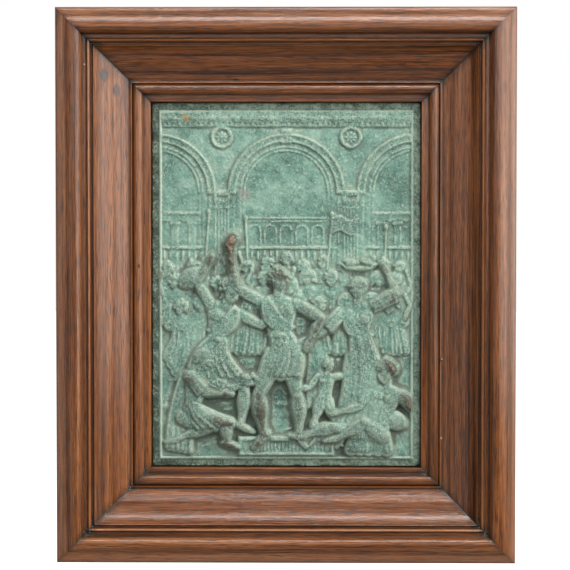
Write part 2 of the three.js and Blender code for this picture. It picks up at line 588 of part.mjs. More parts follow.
const people = {
  jarBearer: {
    tall: 61, hips: [-27.5, -27.5], lift: 3.2, lean: 12, turn: 0.35, tilt: 6, nod: 6, face: 0.8,
    hair: 'curls', beard: true, stout: 1.05,
    legs: { left: [-30, -22, 0.95, 1, 0, -0.2, 60], right: [36, -6, 0.95, 0.95, 0.35, 0.2, 70] },
    arms: { left: [-150, 150, 0.9, 0.85, 0.1, 0.35], right: [62, 128, 0.9, 0.95, 0.4, 0.6] },
    skirt: { down: 0.6, flare: 0.3, folds: 11, thick: 0.09, out: 0.25, sway: -0.25, seed: 21 },
    sashes: [{ from: [2.6, 0.6], to: [1.1, -0.35], gap: 0.12, bend: -0.25 }],
    cloaks: [{ top: [[-32, -8], [-25, -7]], hem: [[-46, -26], [-38, -40]], folds: 8, thick: 0.6,
      lifts: [2.6, 2.2], sway: -1.5, seed: 8 }],
  },
  basketBearer: {
    tall: 60, hips: [28.5, -27.5], lift: 3.2, lean: -4, turn: -0.25, tilt: -5, nod: 6, face: -0.55,
    hair: 'bun', dressed: true, sleeves: true,
    legs: { left: [-10, -2, 1, 1, 0.25, 0.1, -35], right: [9, 4, 1, 1, 0, -0.1, 30] },
    arms: { left: [-42, -64, 0.9, 0.9, 0.35, 0.5], right: [118, 205, 0.95, 0.95, 0.1, 0.3] },
    skirt: { down: 1.86, flare: 0.5, folds: 14, thick: 0.09, out: 0.25, belly: 0.2, sway: 0.3,
      seed: 31, waist: 1.35 },
    sashes: [{ from: [2.35, -0.55], to: [0.9, 0.45], gap: 0.13, bend: 0.25 }],
  },
  child: {
    tall: 31, hips: [14.6, -44.5], lift: 4.4, lean: 4, turn: 0.2, nod: 10, face: 0.6,
    hair: 'curls', stout: 1.25,
    legs: { left: [-16, -2, 1, 1, 0.2, 0.1, -40], right: [14, 10, 1, 1, 0.1, 0, 50] },
    arms: { left: [-35, -80, 1, 0.95, 0.3, 0.5], right: [95, 140, 0.9, 0.95, 0.3, 0.5] },
    skirt: { down: 0.35, flare: 0.2, folds: 5, thick: 0.12, out: 0.2, seed: 2 },
  },
  torchBearer: {
    tall: 65, hips: [-1.5, -26.5], lift: 4.2, lean: -4, turn: -0.12, tilt: 8, nod: 8, face: 0.35,
    hair: 'wreath', stout: 1.05,
    legs: { left: [-20, 8, 1, 1, 0.5, 0.3, -45], right: [8, 2, 1, 1, 0.1, 0, 40] },
    arms: { left: [-118, -172, 0.95, 1, 0.3, 0.5], right: [58, -28, 0.95, 0.95, 0.5, 0.55] },
    skirt: { down: 0.5, flare: 0.3, folds: 12, thick: 0.09, out: 0.25, sway: 0.3, seed: 41 },
    sashes: [{ from: [2.6, -0.6], to: [1.1, 0.4], gap: 0.12, bend: 0.25 }],
    cloaks: [{ top: [[4, -8], [9, -9]], hem: [[7, -47], [17, -44]], folds: 8, thick: 0.65,
      lifts: [3.0, 2.6], sway: 2.2, seed: 18 }],
  },
  kneelingWoman: {
    tall: 54, hips: [-37, -51.5], lift: 6.4, lean: 12, turn: 0.6, nod: 10, face: 0.9, hair: 'hood',
    dressed: true, sleeves: true,
    legs: { left: [66, -70, 0.75, 0.9, 0, -0.3, -80], right: [86, 6, 0.8, 0.62, 0.3, 0.1, 80] },
    arms: { left: [40, 88, 0.9, 0.9, 0.15, 0.3], right: [62, 104, 0.85, 0.95, 0.3, 0.45] },
    skirt: { down: 1, flare: 0.5, folds: 10, thick: 0.1, out: 0.2, belly: 0.3, sway: -0.2,
      seed: 51, waist: 1 },
    cloaks: [{ top: [[-40, -34], [-33, -36]], hem: [[-46, -62], [-36, -64]], folds: 8, thick: 0.65,
      lifts: [4.6, 4.4], sway: -1.2, seed: 28 }],
  },
  recliningMan: {
    tall: 57, hips: [33.5, -57], lift: 6.4, lean: 16, turn: -0.2, tilt: 6, nod: -22, face: -0.6,
    hair: 'curls', beard: true, stout: 1.08,
    legs: { left: [-98, -72, 0.88, 0.9, 0.1, -0.1, -100], right: [-128, -58, 0.62, 0.82, 0.45, 0.2, -80] },
    arms: { left: [-30, -74, 0.95, 0.95, 0.35, 0.5], right: [48, 4, 0.8, 0.7, 0.1, 0.1] },
  },
};

function carveFigures(sheet) {
  carveJar(sheet, -35.5, 3, 4, 4.4, -58);
  carvePerson(sheet, people.jarBearer);
  carvePerson(sheet, people.basketBearer);
  carveTray(sheet, 27.5, 7.2, 4.6, 6.2);
  carvePerson(sheet, people.child);
  const torch = carvePerson(sheet, people.torchBearer).left.wrist;
  sheet.form([[torch[0] + 0.6, torch[1] - 6, torch[2], 0.5],
    [torch[0] - 0.6, torch[1] + 5.5, torch[2] + 0.2, 0.75]], { blend: 0.12, moat: 0.25 });
  for (let i = 0; i < 4; i++) {
    const t = (i - 1.5) / 1.5;
    sheet.form([[torch[0] - 0.6 + t * 0.8, torch[1] + 6, torch[2], 0.55],
      [torch[0] - 0.9 + t * 1.6, torch[1] + 8.2, torch[2] + 0.2, 0.7],
      [torch[0] + 0.6 + t * 0.7, torch[1] + 10.6 - Math.abs(t) * 1.6, torch[2] - 0.4, 0.25]], { blend: 0.1 });
  }
  const bowl = carvePerson(sheet, people.kneelingWoman).right.wrist;
  carveTray(sheet, bowl[0] + 2, bowl[1] + 1.2, bowl[2] - 0.4, 3.6);
  carveJar(sheet, 40.8, -51.5, 5, 4.2, 62);
  carvePerson(sheet, people.recliningMan);
  carveCloth(sheet, [[26.5, -54.5], [38, -53.5]], [[23, -63], [40, -63.6]], 10, 0.55, [8.4, 5.6],
    { belly: 0.5, seed: 61, moat: 0.25 });
}

// The finished sheet: scene, then a plain margin and a raised line round it.
function carvePicture() {
  const sheet = new Carving(drawn.width, drawn.tall, relief.cells);
  carveArcade(sheet);
  sheet.h = sheet.h.map((height) => height * relief.wallDepth);
  carveGround(sheet);
  sheet.depth = relief.figureDepth;
  sheet.draft = relief.figureDraft;
  carveCrowd(sheet);
  carveFigures(sheet);
  sheet.soften(relief.soften);
  sheet.over(-99, 99, -99, 99, (x, z, height) => {
    const edge = Math.min(drawn.width / 2 - Math.abs(x), drawn.tall / 2 - Math.abs(z));
    const inside = clamp((edge - rim.inset + 0.5) / rim.slope, 0, 1);
    const line = rim.rise * Math.exp(-(((edge - rim.inset) / rim.halfWide) ** 2));
    return Math.max(height * inside, line) - rim.edgeDrop * clamp(1 - edge / rim.edgeWide, 0, 1) ** 1.5;
  });
  return sheet;
}

// ---------------------------------------------------------------- the plaque as a solid

// A heap of [cost, ...] rows that gives back the cheapest first.
class Heap {
  constructor() { this.rows = []; }

  push(row) {
    const { rows } = this;
    let at = rows.push(row) - 1;
    while (at > 0) {
      const up = (at - 1) >> 1;
      if (rows[up][0] <= row[0]) break;
      rows[at] = rows[up];
      at = up;
    }
    rows[at] = row;
  }

  pop() {
    const { rows } = this;
    const first = rows[0];
    const last = rows.pop();
    if (!rows.length) return first;
    let at = 0;
    for (;;) {
      let down = 2 * at + 1;
      if (down >= rows.length) break;
      if (down + 1 < rows.length && rows[down + 1][0] < rows[down][0]) down++;
      if (rows[down][0] >= last[0]) break;
      rows[at] = rows[down];
      at = down;
    }
    rows[at] = last;
    return first;
  }
}

// Thins a sheet of triangles by moving one corner after another onto a neighbour, always
// the one that strays least from the planes it stands for. Seen from the front no
// triangle may turn over, so the sheet stays whole. Points are [x, y, z] and y is depth.
class ThinnedSheet {
  constructor(points, triangles, isBorder, isFixed) {
    Object.assign(this, { points, triangles, isBorder, isFixed, left: triangles.length });
    this.around = points.map(() => new Set());
    this.planes = points.map(() => new Float64Array(10));
    triangles.forEach((triangle, k) => {
      const plane = this.planeOf(triangle);
      for (const corner of triangle) {
        this.around[corner].add(k);
        plane.forEach((value, i) => { this.planes[corner][i] += value; });
      }
    });
  }

  // Squared distance to a triangle's plane, as ten coefficients weighted by its area.
  planeOf([a, b, c]) {
    const [p, q, r] = [a, b, c].map((corner) => new THREE.Vector3(...this.points[corner]));
    const normal = q.sub(p).cross(r.sub(p));
    const area = normal.length();
    normal.divideScalar(area);
    const { x, y, z } = normal;
    const d = -normal.dot(p);
    const products = [x * x, y * y, z * z, x * y, x * z, y * z, x * d, y * d, z * d, d * d];
    return products.map((value) => value * area);
  }

  strays(corner, onto) {
    const [p, q] = [this.planes[corner], this.planes[onto]];
    const [x, y, z] = this.points[onto];
    const k = (i) => p[i] + q[i];
    return k(0) * x * x + k(1) * y * y + k(2) * z * z
      + 2 * (k(3) * x * y + k(4) * x * z + k(5) * y * z + k(6) * x + k(7) * y + k(8) * z) + k(9);
  }

  neighbours(corner) {
    const found = new Set();
    for (const k of this.around[corner]) this.triangles[k].forEach((other) => found.add(other));
    found.delete(corner);
    return found;
  }

  allowed(corner, onto, near) {
    let shared = 0;
    for (const k of this.around[corner]) if (this.triangles[k].includes(onto)) shared++;
    if (this.isBorder[corner] && !(this.isBorder[onto] && shared === 1)) return false;
    let common = 0;
    for (const other of this.neighbours(onto)) if (near.has(other)) common++;
    if (common !== shared) return false;
    for (const k of this.around[corner]) {
      const triangle = this.triangles[k];
      if (triangle.includes(onto)) continue;
      const [a, b, c] = triangle.map((other) => this.points[other === corner ? onto : other]);
      const turned = (c[0] - a[0]) * (b[2] - a[2]) - (b[0] - a[0]) * (c[2] - a[2]);
      const longest = Math.max(Math.hypot(b[0] - a[0], b[2] - a[2]), Math.hypot(c[0] - b[0], c[2] - b[2]),
        Math.hypot(a[0] - c[0], a[2] - c[2]));
      if (turned < relief.thinnest * longest) return false;
    }
    return true;
  }

  best(corner) {
    if (this.isFixed[corner]) return null;
    const near = this.neighbours(corner);
    const choices = [...near].map((onto) => [this.strays(corner, onto), onto]).sort((a, b) => a[0] - b[0]);
    return choices.find(([, onto]) => this.allowed(corner, onto, near)) ?? null;
  }

  thinTo(count) {
    const heap = new Heap();
    const stamp = this.points.map(() => 0);
    const offer = (corner) => {
      const choice = this.best(corner);
      stamp[corner] += 1;
      if (choice) heap.push([choice[0], corner, choice[1], stamp[corner]]);
    };
    this.points.forEach((point, corner) => offer(corner));
    while (this.left > count && heap.rows.length) {
      const [, corner, onto, when] = heap.pop();
      if (stamp[corner] !== when) continue;
      for (const k of this.around[corner]) {
        const triangle = this.triangles[k];
        if (triangle.includes(onto)) {
          triangle.forEach((other) => { if (other !== corner) this.around[other].delete(k); });
          this.triangles[k] = null;
          this.left -= 1;
        } else {
          triangle[triangle.indexOf(corner)] = onto;
          this.around[onto].add(k);
        }
      }
      this.around[corner].clear();
      stamp[corner] += 1;
      this.planes[corner].forEach((value, i) => { this.planes[onto][i] += value; });
      offer(onto);
      this.neighbours(onto).forEach(offer);
    }
    return this.triangles.filter(Boolean);
  }
}

// The carving as a closed solid: its front thinned, walls down to the back, and the back
// as a fan about the middle.
function plaqueGeometry(sheet) {
  const n = sheet.cells;
  const row = n + 1;
  const points = [];
  const triangles = [];
  const isBorder = [];
  const isFixed = [];
  const atEnd = (k) => k === 0 || k === n;
  // a corner's round keeps all its points
  const inRound = (i, j) => Math.abs(sheet.x(i)) > drawn.width / 2 - 1.3 * plaque.cornerRadius
    && Math.abs(sheet.z(j)) > drawn.tall / 2 - 1.3 * plaque.cornerRadius;
  const [wider, taller] = [plaque.width / drawn.width, plaque.tall / drawn.tall];
  for (let j = 0; j <= n; j++) {
    for (let i = 0; i <= n; i++) {
      points.push([sheet.x(i) * wider, -(plaque.field + sheet.h[j * row + i]), sheet.z(j) * taller]);
      isBorder.push(atEnd(i) || atEnd(j));
      isFixed.push((atEnd(i) || atEnd(j)) && inRound(i, j));
      if (i === n || j === n) continue;
      const [a, b, c, d] = [j * row + i, j * row + i + 1, j * row + row + i, j * row + row + i + 1];
      triangles.push(...((i + j) % 2 ? [[a, b, c], [b, d, c]] : [[a, b, d], [a, d, c]]));
    }
  }
  triangles.forEach((triangle) => triangle.reverse());
  const kept = new ThinnedSheet(points, triangles, isBorder, isFixed).thinTo(relief.triangles);
  const number = new Map();
  const corners = [];
  const place = (corner) => {
    if (!number.has(corner)) number.set(corner, number.size);
    return number.get(corner);
  };
  for (const [a, b, c] of kept) corners.push(place(a), place(c), place(b));
  const used = [...number.keys()].map((corner) => roundedCorner(points[corner]));
  const border = [];
  for (const [i0, j0, di, dj] of [[0, 0, 1, 0], [n, 0, 0, 1], [n, n, -1, 0], [0, n, 0, -1]]) {
    for (let k = 0; k < n; k++) {
      const corner = (j0 + dj * k) * row + i0 + di * k;
      if (number.has(corner)) border.push(number.get(corner));
    }
  }
  const rear = border.map((at) => used.push([used[at][0], -plaque.back, used[at][2]]) - 1);
  const middle = used.push([0, -plaque.back, 0]) - 1;
  border.forEach((front, k) => {
    const next = (k + 1) % border.length;
    corners.push(front, rear[next], border[next]);
    corners.push(front, rear[k], rear[next]);
    corners.push(rear[k], middle, rear[next]);
  });
  const geometry = new THREE.BufferGeometry();
  geometry.setAttribute('position', new THREE.Float32BufferAttribute(used.flat(), 3));
  geometry.setIndex(corners);
  geometry.computeVertexNormals();
  return geometry;
}

// Points past a corner's round are drawn in to it.
function roundedCorner([x, y, z]) {
  const r = plaque.cornerRadius;
  const [ox, oz] = [Math.abs(x) - plaque.width / 2 + r, Math.abs(z) - plaque.tall / 2 + r];
  const out = Math.hypot(ox, oz);
  if (ox <= 0 || oz <= 0 || out <= r) return [x, y, z];
  return [x - Math.sign(x) * ox * (1 - r / out), y, z - Math.sign(z) * oz * (1 - r / out)];
}

// ---------------------------------------------------------------- the frame

// The section of the moulding: x runs outward from the sight edge, y from the wall forward.
function mouldingSection() {
  const m = moulding;
  const points = [];
  const add = (x, y) => points.push(new THREE.Vector2(x, y));
  const arc = (cx, cy, rx, ry, from, to, steps) => {
    for (let i = 0; i <= steps; i++) {
      const a = radians(mix(from, to, i / steps));
      add(cx + rx * Math.cos(a), cy + ry * Math.sin(a));
    }
  };
  // an S-shaped rise, steepest in the middle
  const wave = (x0, y0, x1, y1, steps) => {
    for (let i = 0; i <= steps; i++) {
      const t = i / steps;
      add(mix(x0, x1, t), mix(y0, y1, t - m.waviness * Math.sin(2 * Math.PI * t) / (2 * Math.PI)));
    }
  };
  add(m.rebateWide, 0);
  add(m.rebateWide, m.rebateDeep);
  add(0, m.rebateDeep);
  add(0, m.fillet.front);
  arc(m.bead.centre, m.fillet.front, m.bead.halfWide, m.bead.rise, 178, 8, 9);
  add(m.quirk.at, m.quirk.front);
  add(m.arris.at, m.arris.front);
  add(m.arris.at + m.arris.wide, m.arris.front);
  wave(m.ogee.start, m.ogee.startFront, m.ogee.end, m.ogee.front, 8);
  for (let i = 0; i <= 8; i++) {
    const t = i / 8;
    const risen = mix(t, t ** 3, m.swell.steepening);
    add(mix(m.ogee.end, m.swell.end, t), mix(m.ogee.front, m.swell.front, risen));
  }
  add(m.upperQuirk.at, m.upperQuirk.front);
  add(m.upperQuirk.at + m.upperQuirk.wide, m.upperQuirk.front);
  add(m.lip.at - m.lip.bevel, m.lip.front - m.lip.bevel);
  add(m.lip.at, m.lip.front);
  add(m.lip.at + m.lip.wide, m.lip.front);
  add(m.groove.start, m.groove.front);
  add(m.groove.end, m.groove.front);
  const [wide, deep] = [m.torus.crest - m.torus.foot, m.torus.front - m.groove.front];
  arc(m.torus.crest, m.groove.front, wide, deep, 180, 97, 7);
  through(m.shoulder, 2).forEach(([x, y]) => add(x, y));
  add(m.side, 0);
  return new THREE.Shape(points);
}

const opening = {
  halfWide: plaque.width / 2 + sight.clearance,
  halfTall: plaque.tall / 2 + sight.clearance,
};

// One length of moulding, cut at 45 degrees at both ends. It is made along +X above the
// opening, then turned about Y into its place round the frame.
function mouldingGeometry(halfAlong, halfAcross, turn) {
  const geometry = new THREE.ExtrudeGeometry(mouldingSection(), { depth: 1, bevelEnabled: false });
  const place = geometry.attributes.position;
  for (let i = 0; i < place.count; i++) {
    const [out, front, end] = [place.getX(i), place.getY(i), place.getZ(i) > 0.5 ? 1 : -1];
    const along = halfAlong + out - moulding.mitreGap / Math.SQRT2;
    place.setXYZ(i, end * along, -front, halfAcross + out);
  }
  geometry.rotateY(radians(turn));
  geometry.computeVertexNormals();
  return geometry;
}

// ---------------------------------------------------------------- the pieces

function wood(tint) {
  return new THREE.MeshStandardMaterial({ color: tint, roughness: 0.42, metalness: 0 });
}

function piece(name, geometry, material) {
  const mesh = new THREE.Mesh(geometry, material);
  mesh.name = name;
  return mesh;
}

function framePieces() {
  const group = new THREE.Group();
  const { halfWide, halfTall } = opening;
  const lengths = [
    ['frame_rail_top', halfWide, halfTall, 0, colour.rail],
    ['frame_stile_right', halfTall, halfWide, 90, colour.stile],
    ['frame_rail_bottom', halfWide, halfTall, 180, colour.rail],
    ['frame_stile_left', halfTall, halfWide, 270, colour.stile],
  ];
  for (const [name, along, across, turn, tint] of lengths) {
    group.add(piece(name, mouldingGeometry(along, across, turn), wood(tint)));
  }
  return group;
}

function backingBoard() {
  const grow = moulding.rebateWide - board.seatGap;
  const wide = 2 * (opening.halfWide + grow);
  const tall = 2 * (opening.halfTall + grow);
  const mesh = piece('backing_board', new THREE.BoxGeometry(wide, board.thick, tall), wood(colour.board));
  mesh.position.y = -board.thick / 2;
  return mesh;
}

function reliefPlaque() {
  const bronze = new THREE.MeshStandardMaterial({ color: colour.bronze, roughness: 0.7, metalness: 0.25 });
  return piece('relief_plaque', plaqueGeometry(carvePicture()), bronze);
}

const framedPlaque = new THREE.Group();
framedPlaque.add(framePieces(), backingBoard(), reliefPlaque());

export default framedPlaque;
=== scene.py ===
import math

import bmesh
import bpy
import numpy as np
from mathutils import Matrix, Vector


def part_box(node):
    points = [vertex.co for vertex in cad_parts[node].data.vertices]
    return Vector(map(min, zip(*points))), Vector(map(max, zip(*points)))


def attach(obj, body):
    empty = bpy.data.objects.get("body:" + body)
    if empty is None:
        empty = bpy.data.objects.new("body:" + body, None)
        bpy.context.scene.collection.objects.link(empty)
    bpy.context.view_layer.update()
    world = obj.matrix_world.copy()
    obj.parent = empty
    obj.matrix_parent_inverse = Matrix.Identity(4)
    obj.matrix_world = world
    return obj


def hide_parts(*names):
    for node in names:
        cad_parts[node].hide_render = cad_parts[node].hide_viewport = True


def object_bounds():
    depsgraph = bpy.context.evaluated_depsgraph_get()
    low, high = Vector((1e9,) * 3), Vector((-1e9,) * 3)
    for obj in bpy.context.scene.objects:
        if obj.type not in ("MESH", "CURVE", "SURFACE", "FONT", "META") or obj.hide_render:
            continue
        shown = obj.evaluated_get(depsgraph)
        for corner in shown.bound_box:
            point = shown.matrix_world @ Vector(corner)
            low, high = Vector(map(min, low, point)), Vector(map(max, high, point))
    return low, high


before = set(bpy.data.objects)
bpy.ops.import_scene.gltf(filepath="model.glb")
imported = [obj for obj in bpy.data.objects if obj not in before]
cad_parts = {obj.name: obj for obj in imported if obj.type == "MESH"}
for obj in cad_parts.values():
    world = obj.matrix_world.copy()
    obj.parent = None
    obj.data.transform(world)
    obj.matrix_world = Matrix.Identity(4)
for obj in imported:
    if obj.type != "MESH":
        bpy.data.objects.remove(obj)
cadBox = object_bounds()
mm = 0.001


def say(words):
    print("scene:", words)


# one class for the maths of shader and geometry trees: arithmetic on it adds Math nodes
class Wire:
    def __init__(self, tree, socket=None):
        self.tree, self.socket = tree, socket

    def node(self, kind, settings=None, inputs=None, out=0):
        made = self.tree.nodes.new(kind)
        for name, value in (settings or {}).items():
            if name == "stops":
                stops = made.color_ramp.elements
                while len(stops) < len(value):
                    stops.new(1.0)
                for stop, (place, tint) in zip(stops, value):
                    stop.position, stop.color = place, (*tint, 1.0)
            else:
                setattr(made, name, value)
        for name, value in (inputs or {}).items():
            if isinstance(value, Wire):
                self.tree.links.new(value.socket, made.inputs[name])
            else:
                made.inputs[name].default_value = value
        return Wire(self.tree, made.outputs[out] if len(made.outputs) else None)

    def math(self, operation, a, b=0.0):
        return self.node("ShaderNodeMath", {"operation": operation}, {0: a, 1: b})

    def __add__(self, other): return self.math("ADD", self, other)
    def __radd__(self, other): return self.math("ADD", other, self)
    def __sub__(self, other): return self.math("SUBTRACT", self, other)
    def __rsub__(self, other): return self.math("SUBTRACT", other, self)
    def __mul__(self, other): return self.math("MULTIPLY", self, other)
    def __rmul__(self, other): return self.math("MULTIPLY", other, self)
    def __truediv__(self, other): return self.math("DIVIDE", self, other)
    def __neg__(self): return self.math("MULTIPLY", self, -1.0)
    def __abs__(self): return self.math("ABSOLUTE", self)
    def __pow__(self, other): return self.math("POWER", self, other)

    def ramp(self, low, high, **ends):
        # 0 below low, 1 above high, smooth between
        return self.node("ShaderNodeMapRange", {"interpolation_type": "SMOOTHSTEP"},
                         {"Value": self, "From Min": low, "From Max": high, **ends})

    def fallRamp(self, low, high):
        return self.ramp(low, high, **{"To Min": 1.0, "To Max": 0.0})

    def blend(self, a, b):
        # colours a and b, mixed by this value
        return self.node("ShaderNodeMix", {"data_type": "RGBA"},
                         {0: self, 6: colourOf(a), 7: colourOf(b)}, out=2)

    def stretch(self, sizes, shift=(0, 0, 0)):
        # a vector times sizes, plus shift
        return self.node("ShaderNodeVectorMath", {"operation": "MULTIPLY_ADD"}, {0: self, 1: sizes, 2: shift})

    def noise(self, scale, detail=2.0, rough=0.5, warp=0.0):
        inputs = {"Vector": self, "Scale": scale, "Detail": detail, "Roughness": rough, "Distortion": warp}
        return self.node("ShaderNodeTexNoise", {"noise_dimensions": "3D"}, inputs)

    def stored(self, name, out=2):
        # what the mesh keeps under this name: a number, or with out 1 a vector
        return self.node("ShaderNodeAttribute", {"attribute_name": name}, out=out)

    def axes(self):
        outputs = self.node("ShaderNodeSeparateXYZ", {}, {0: self}).socket.node.outputs
        return [Wire(self.tree, socket) for socket in outputs]


def colourOf(value):
    return value if isinstance(value, Wire) or len(value) == 4 else (*value, 1.0)


class Paint:
    # a colour with layers laid over it, each by its own mask
    def __init__(self, tones, colour):
        self.tones, self.colour = tones, colour

    def lay(self, mask, tone):
        self.colour = mask.blend(self.colour, self.tones[tone] if isinstance(tone, str) else tone)


def newFinish(name):
    # a material with one Principled shader; returns it with a Wire to build on
    material = bpy.data.materials.new(name)
    material.use_nodes = True
    shader = next(n for n in material.node_tree.nodes if n.type == "BSDF_PRINCIPLED")
    return material, shader, Wire(material.node_tree)


def feed(wire, shader, **values):
    # values or wires into the shader's sockets; Base_Color stands for Base Color
    for name, value in values.items():
        socket = shader.inputs[name.replace("_", " ")]
        if isinstance(value, Wire):
            wire.tree.links.new(value.socket, socket)
        else:
            socket.default_value = value


def bumped(wire, *layers):
    # layers of (height, strength, distance in mm), laid over each other
    normal = None
    for height, strength, deep in layers:
        inputs = {"Height": height, "Strength": strength, "Distance": deep * mm}
        if normal:
            inputs["Normal"] = normal
        normal = wire.node("ShaderNodeBump", {}, inputs)
    return normal


def addMesh(name, mesh, material):
    piece = bpy.data.objects.new(name, mesh)
    bpy.context.scene.collection.objects.link(piece)
    mesh.materials.clear()
    mesh.materials.append(material)
    return piece


def tidyNormals(mesh):
    work = bmesh.new()
    work.from_mesh(mesh)
    bmesh.ops.remove_doubles(work, verts=work.verts, dist=0.001 * mm)
    bmesh.ops.recalc_face_normals(work, faces=work.faces)
    work.to_mesh(mesh)
    work.free()


def baked(piece):
    # the piece with its modifiers worked out, as a plain mesh
    graph = bpy.context.evaluated_depsgraph_get()
    mesh = bpy.data.meshes.new_from_object(piece.evaluated_get(graph))
    piece.modifiers.clear()
    piece.data = mesh
    return mesh


# ---- camera, lights and floor ----

shot = {
    "away": 1.01, "up": 2.4, "right": 1.0,   # metres and degrees
    "lens": 165.0, "aim": (-0.0004, -0.011, 0.0001), "near": 0.05, "far": 30,
}
studio = {
    # name: place, size, watts, colour
    "keyBox": ((0.73, -0.5, 0.26), (0.85, 0.8), 11.5, (1.0, 0.985, 0.96)),
    "topBox": ((0.05, -0.34, 0.62), (0.44, 0.14), 4.6, (1.0, 1.0, 1.0)),
    "frontBox": ((0.06, -0.95, 0.22), (0.9, 0.35), 2.7, (1.0, 1.0, 1.0)),
    "fillBox": ((-0.72, -0.74, 0.08), (0.5, 0.8), 1.6, (0.96, 0.98, 1.0)),
    "bounceBox": ((0.0, -0.72, -0.85), (0.9, 0.35), 1.2, (1.0, 0.97, 0.98)),
}
surround = {
    "seen": 1.0, "front": 0.03, "behind": 0.6,   # brightness of the room, as seen and as light
    "floorHalf": 3.0, "floorDrop": 0.06, "floorGlow": 1.0, "floorTint": (0.86, 0.86, 0.85),
}


def placeCamera():
    data = bpy.data.cameras.new("camera")
    data.lens = shot["lens"]
    data.clip_start, data.clip_end = shot["near"], shot["far"]
    camera = bpy.data.objects.new("camera", data)
    bpy.context.scene.collection.objects.link(camera)
    up, right = math.radians(shot["up"]), math.radians(shot["right"])
    aim = Vector(shot["aim"])
    way = Vector((math.sin(right) * math.cos(up), -math.cos(right) * math.cos(up), math.sin(up)))
    camera.location = aim + way * shot["away"]
    camera.rotation_euler = way.to_track_quat("Z", "Y").to_euler()
    bpy.context.scene.camera = camera


def placeLights():
    for name, (place, size, watts, tint) in studio.items():
        data = bpy.data.lights.new(name, "AREA")
        data.shape = "RECTANGLE"
        data.size, data.size_y = size
        data.energy, data.color = watts, tint
        lamp = bpy.data.objects.new(name, data)
        bpy.context.scene.collection.objects.link(lamp)
        lamp.location = place
        lamp.rotation_euler = Vector(place).to_track_quat("Z", "Y").to_euler()
    world = bpy.data.worlds.new("paleRoom")
    world.use_nodes = True
    bpy.context.scene.world = world
    wire = Wire(world.node_tree)
    seen = wire.node("ShaderNodeLightPath")
    back = next(n for n in world.node_tree.nodes if n.type == "BACKGROUND")
    back.inputs["Color"].default_value = (1, 1, 1, 1)
    _, depth, _ = wire.node("ShaderNodeTexCoord").axes()
    light = depth.ramp(-0.25, 0.5) * (surround["behind"] - surround["front"]) + surround["front"]
    strength = seen * (surround["seen"] - light) + light
    world.node_tree.links.new(strength.socket, back.inputs["Strength"])


def placeFloor():
    half, low = surround["floorHalf"], cadBox[0][2] - surround["floorDrop"]
    mesh = bpy.data.meshes.new("floor")
    corners = [(-half, -half, low), (half, -half, low), (half, half, low), (-half, half, low)]
    mesh.from_pydata(corners, [], [(0, 1, 2, 3)])
    material, shader, wire = newFinish("paleFloor")
    feed(wire, shader, Base_Color=(*surround["floorTint"], 1), Roughness=0.9, Emission_Color=(1, 1, 1, 1),
         Emission_Strength=surround["floorGlow"])
    floor = addMesh("floor", mesh, material)
    # it is seen, and neither lights nor shades anything
    floor.visible_diffuse = floor.visible_glossy = floor.visible_shadow = False


bpy.context.scene.view_settings.view_transform = "Standard"
placeCamera()
placeLights()
placeFloor()
say("camera, lights and floor")


# ---- the carving: one sheet of heights over the picture, in millimetres ----

plaqueSizes = {
    "width": 103.7, "tall": 140.7,
    "drawnWide": 102.0, "drawnTall": 139.0,   # the picture is laid out at this size, then stretched
    "step": 0.24,                             # spacing of the fine grid
    "back": 4.0, "field": 7.2, "cornerRadius": 1.6,
    "rimInset": 3.1, "rimHalfWide": 0.55, "rimRise": 0.95, "rimSlope": 0.9, "edgeDrop": 0.5, "edgeWide": 1.8,
    "wallDepth": 0.8, "figureDepth": 0.46, "figureDraft": 3.4, "soften": 0.17,
    "triangles": 190000,
}


def vary(n):
    # a repeatable scatter from -1 to 1 for any number
    wave = math.sin(n * 12.9898) * 43758.5453
    return 2 * (wave - math.floor(wave)) - 1


def mix(a, b, t):
    return a + (b - a) * t


def toward(angle, length=1.0):
    # 0 hangs down, 90 points right, 180 points up
    return math.sin(math.radians(angle)) * length, -math.cos(math.radians(angle)) * length


def through(rows, steps):
    # a smooth line through rows of numbers
    rows = [np.array(row, float) for row in rows]
    ends = [2 * rows[0] - rows[1]] + rows + [2 * rows[-1] - rows[-2]]
    line = []
    for a, b, c, d in zip(ends, ends[1:], ends[2:], ends[3:]):
        for k in range(steps):
            t = k / steps
            line.append(0.5 * (2 * b + (c - a) * t + (2 * a - 5 * b + 4 * c - d) * t * t
                               + (3 * b - a - 3 * c + d) * t ** 3))
    return line + [rows[-1]]


def blurred(sheet, sigma):
    # a Gaussian blur, sigma in grid steps
    reach = int(3 * sigma) + 1
    weights = np.exp(-np.arange(-reach, reach + 1) ** 2 / (2 * sigma * sigma))
    weights /= weights.sum()
    for axis in (0, 1):
        padded = np.pad(sheet, [(reach, reach) if k == axis else (0, 0) for k in (0, 1)], mode="edge")
        size = sheet.shape[axis]
        sheet = sum(w * np.take(padded, range(k, k + size), axis) for k, w in enumerate(weights))
    return sheet


def spineDistance(gridX, gridZ, a, b):
    # how far along a to b each point lies, and how far from it
    dx, dz = b[0] - a[0], b[1] - a[1]
    t = np.clip(((gridX - a[0]) * dx + (gridZ - a[1]) * dz) / max(dx * dx + dz * dz, 1e-9), 0, 1)
    return t, np.hypot(gridX - a[0] - dx * t, gridZ - a[1] - dz * t)


carvingSizes = {
    "bevel": 2.2, "fillet": 0.12,          # slope and inner fillet of slabs and arches
    "moatWide": 0.7, "moatDeep": 0.45,     # the sunk line beside a figure
}


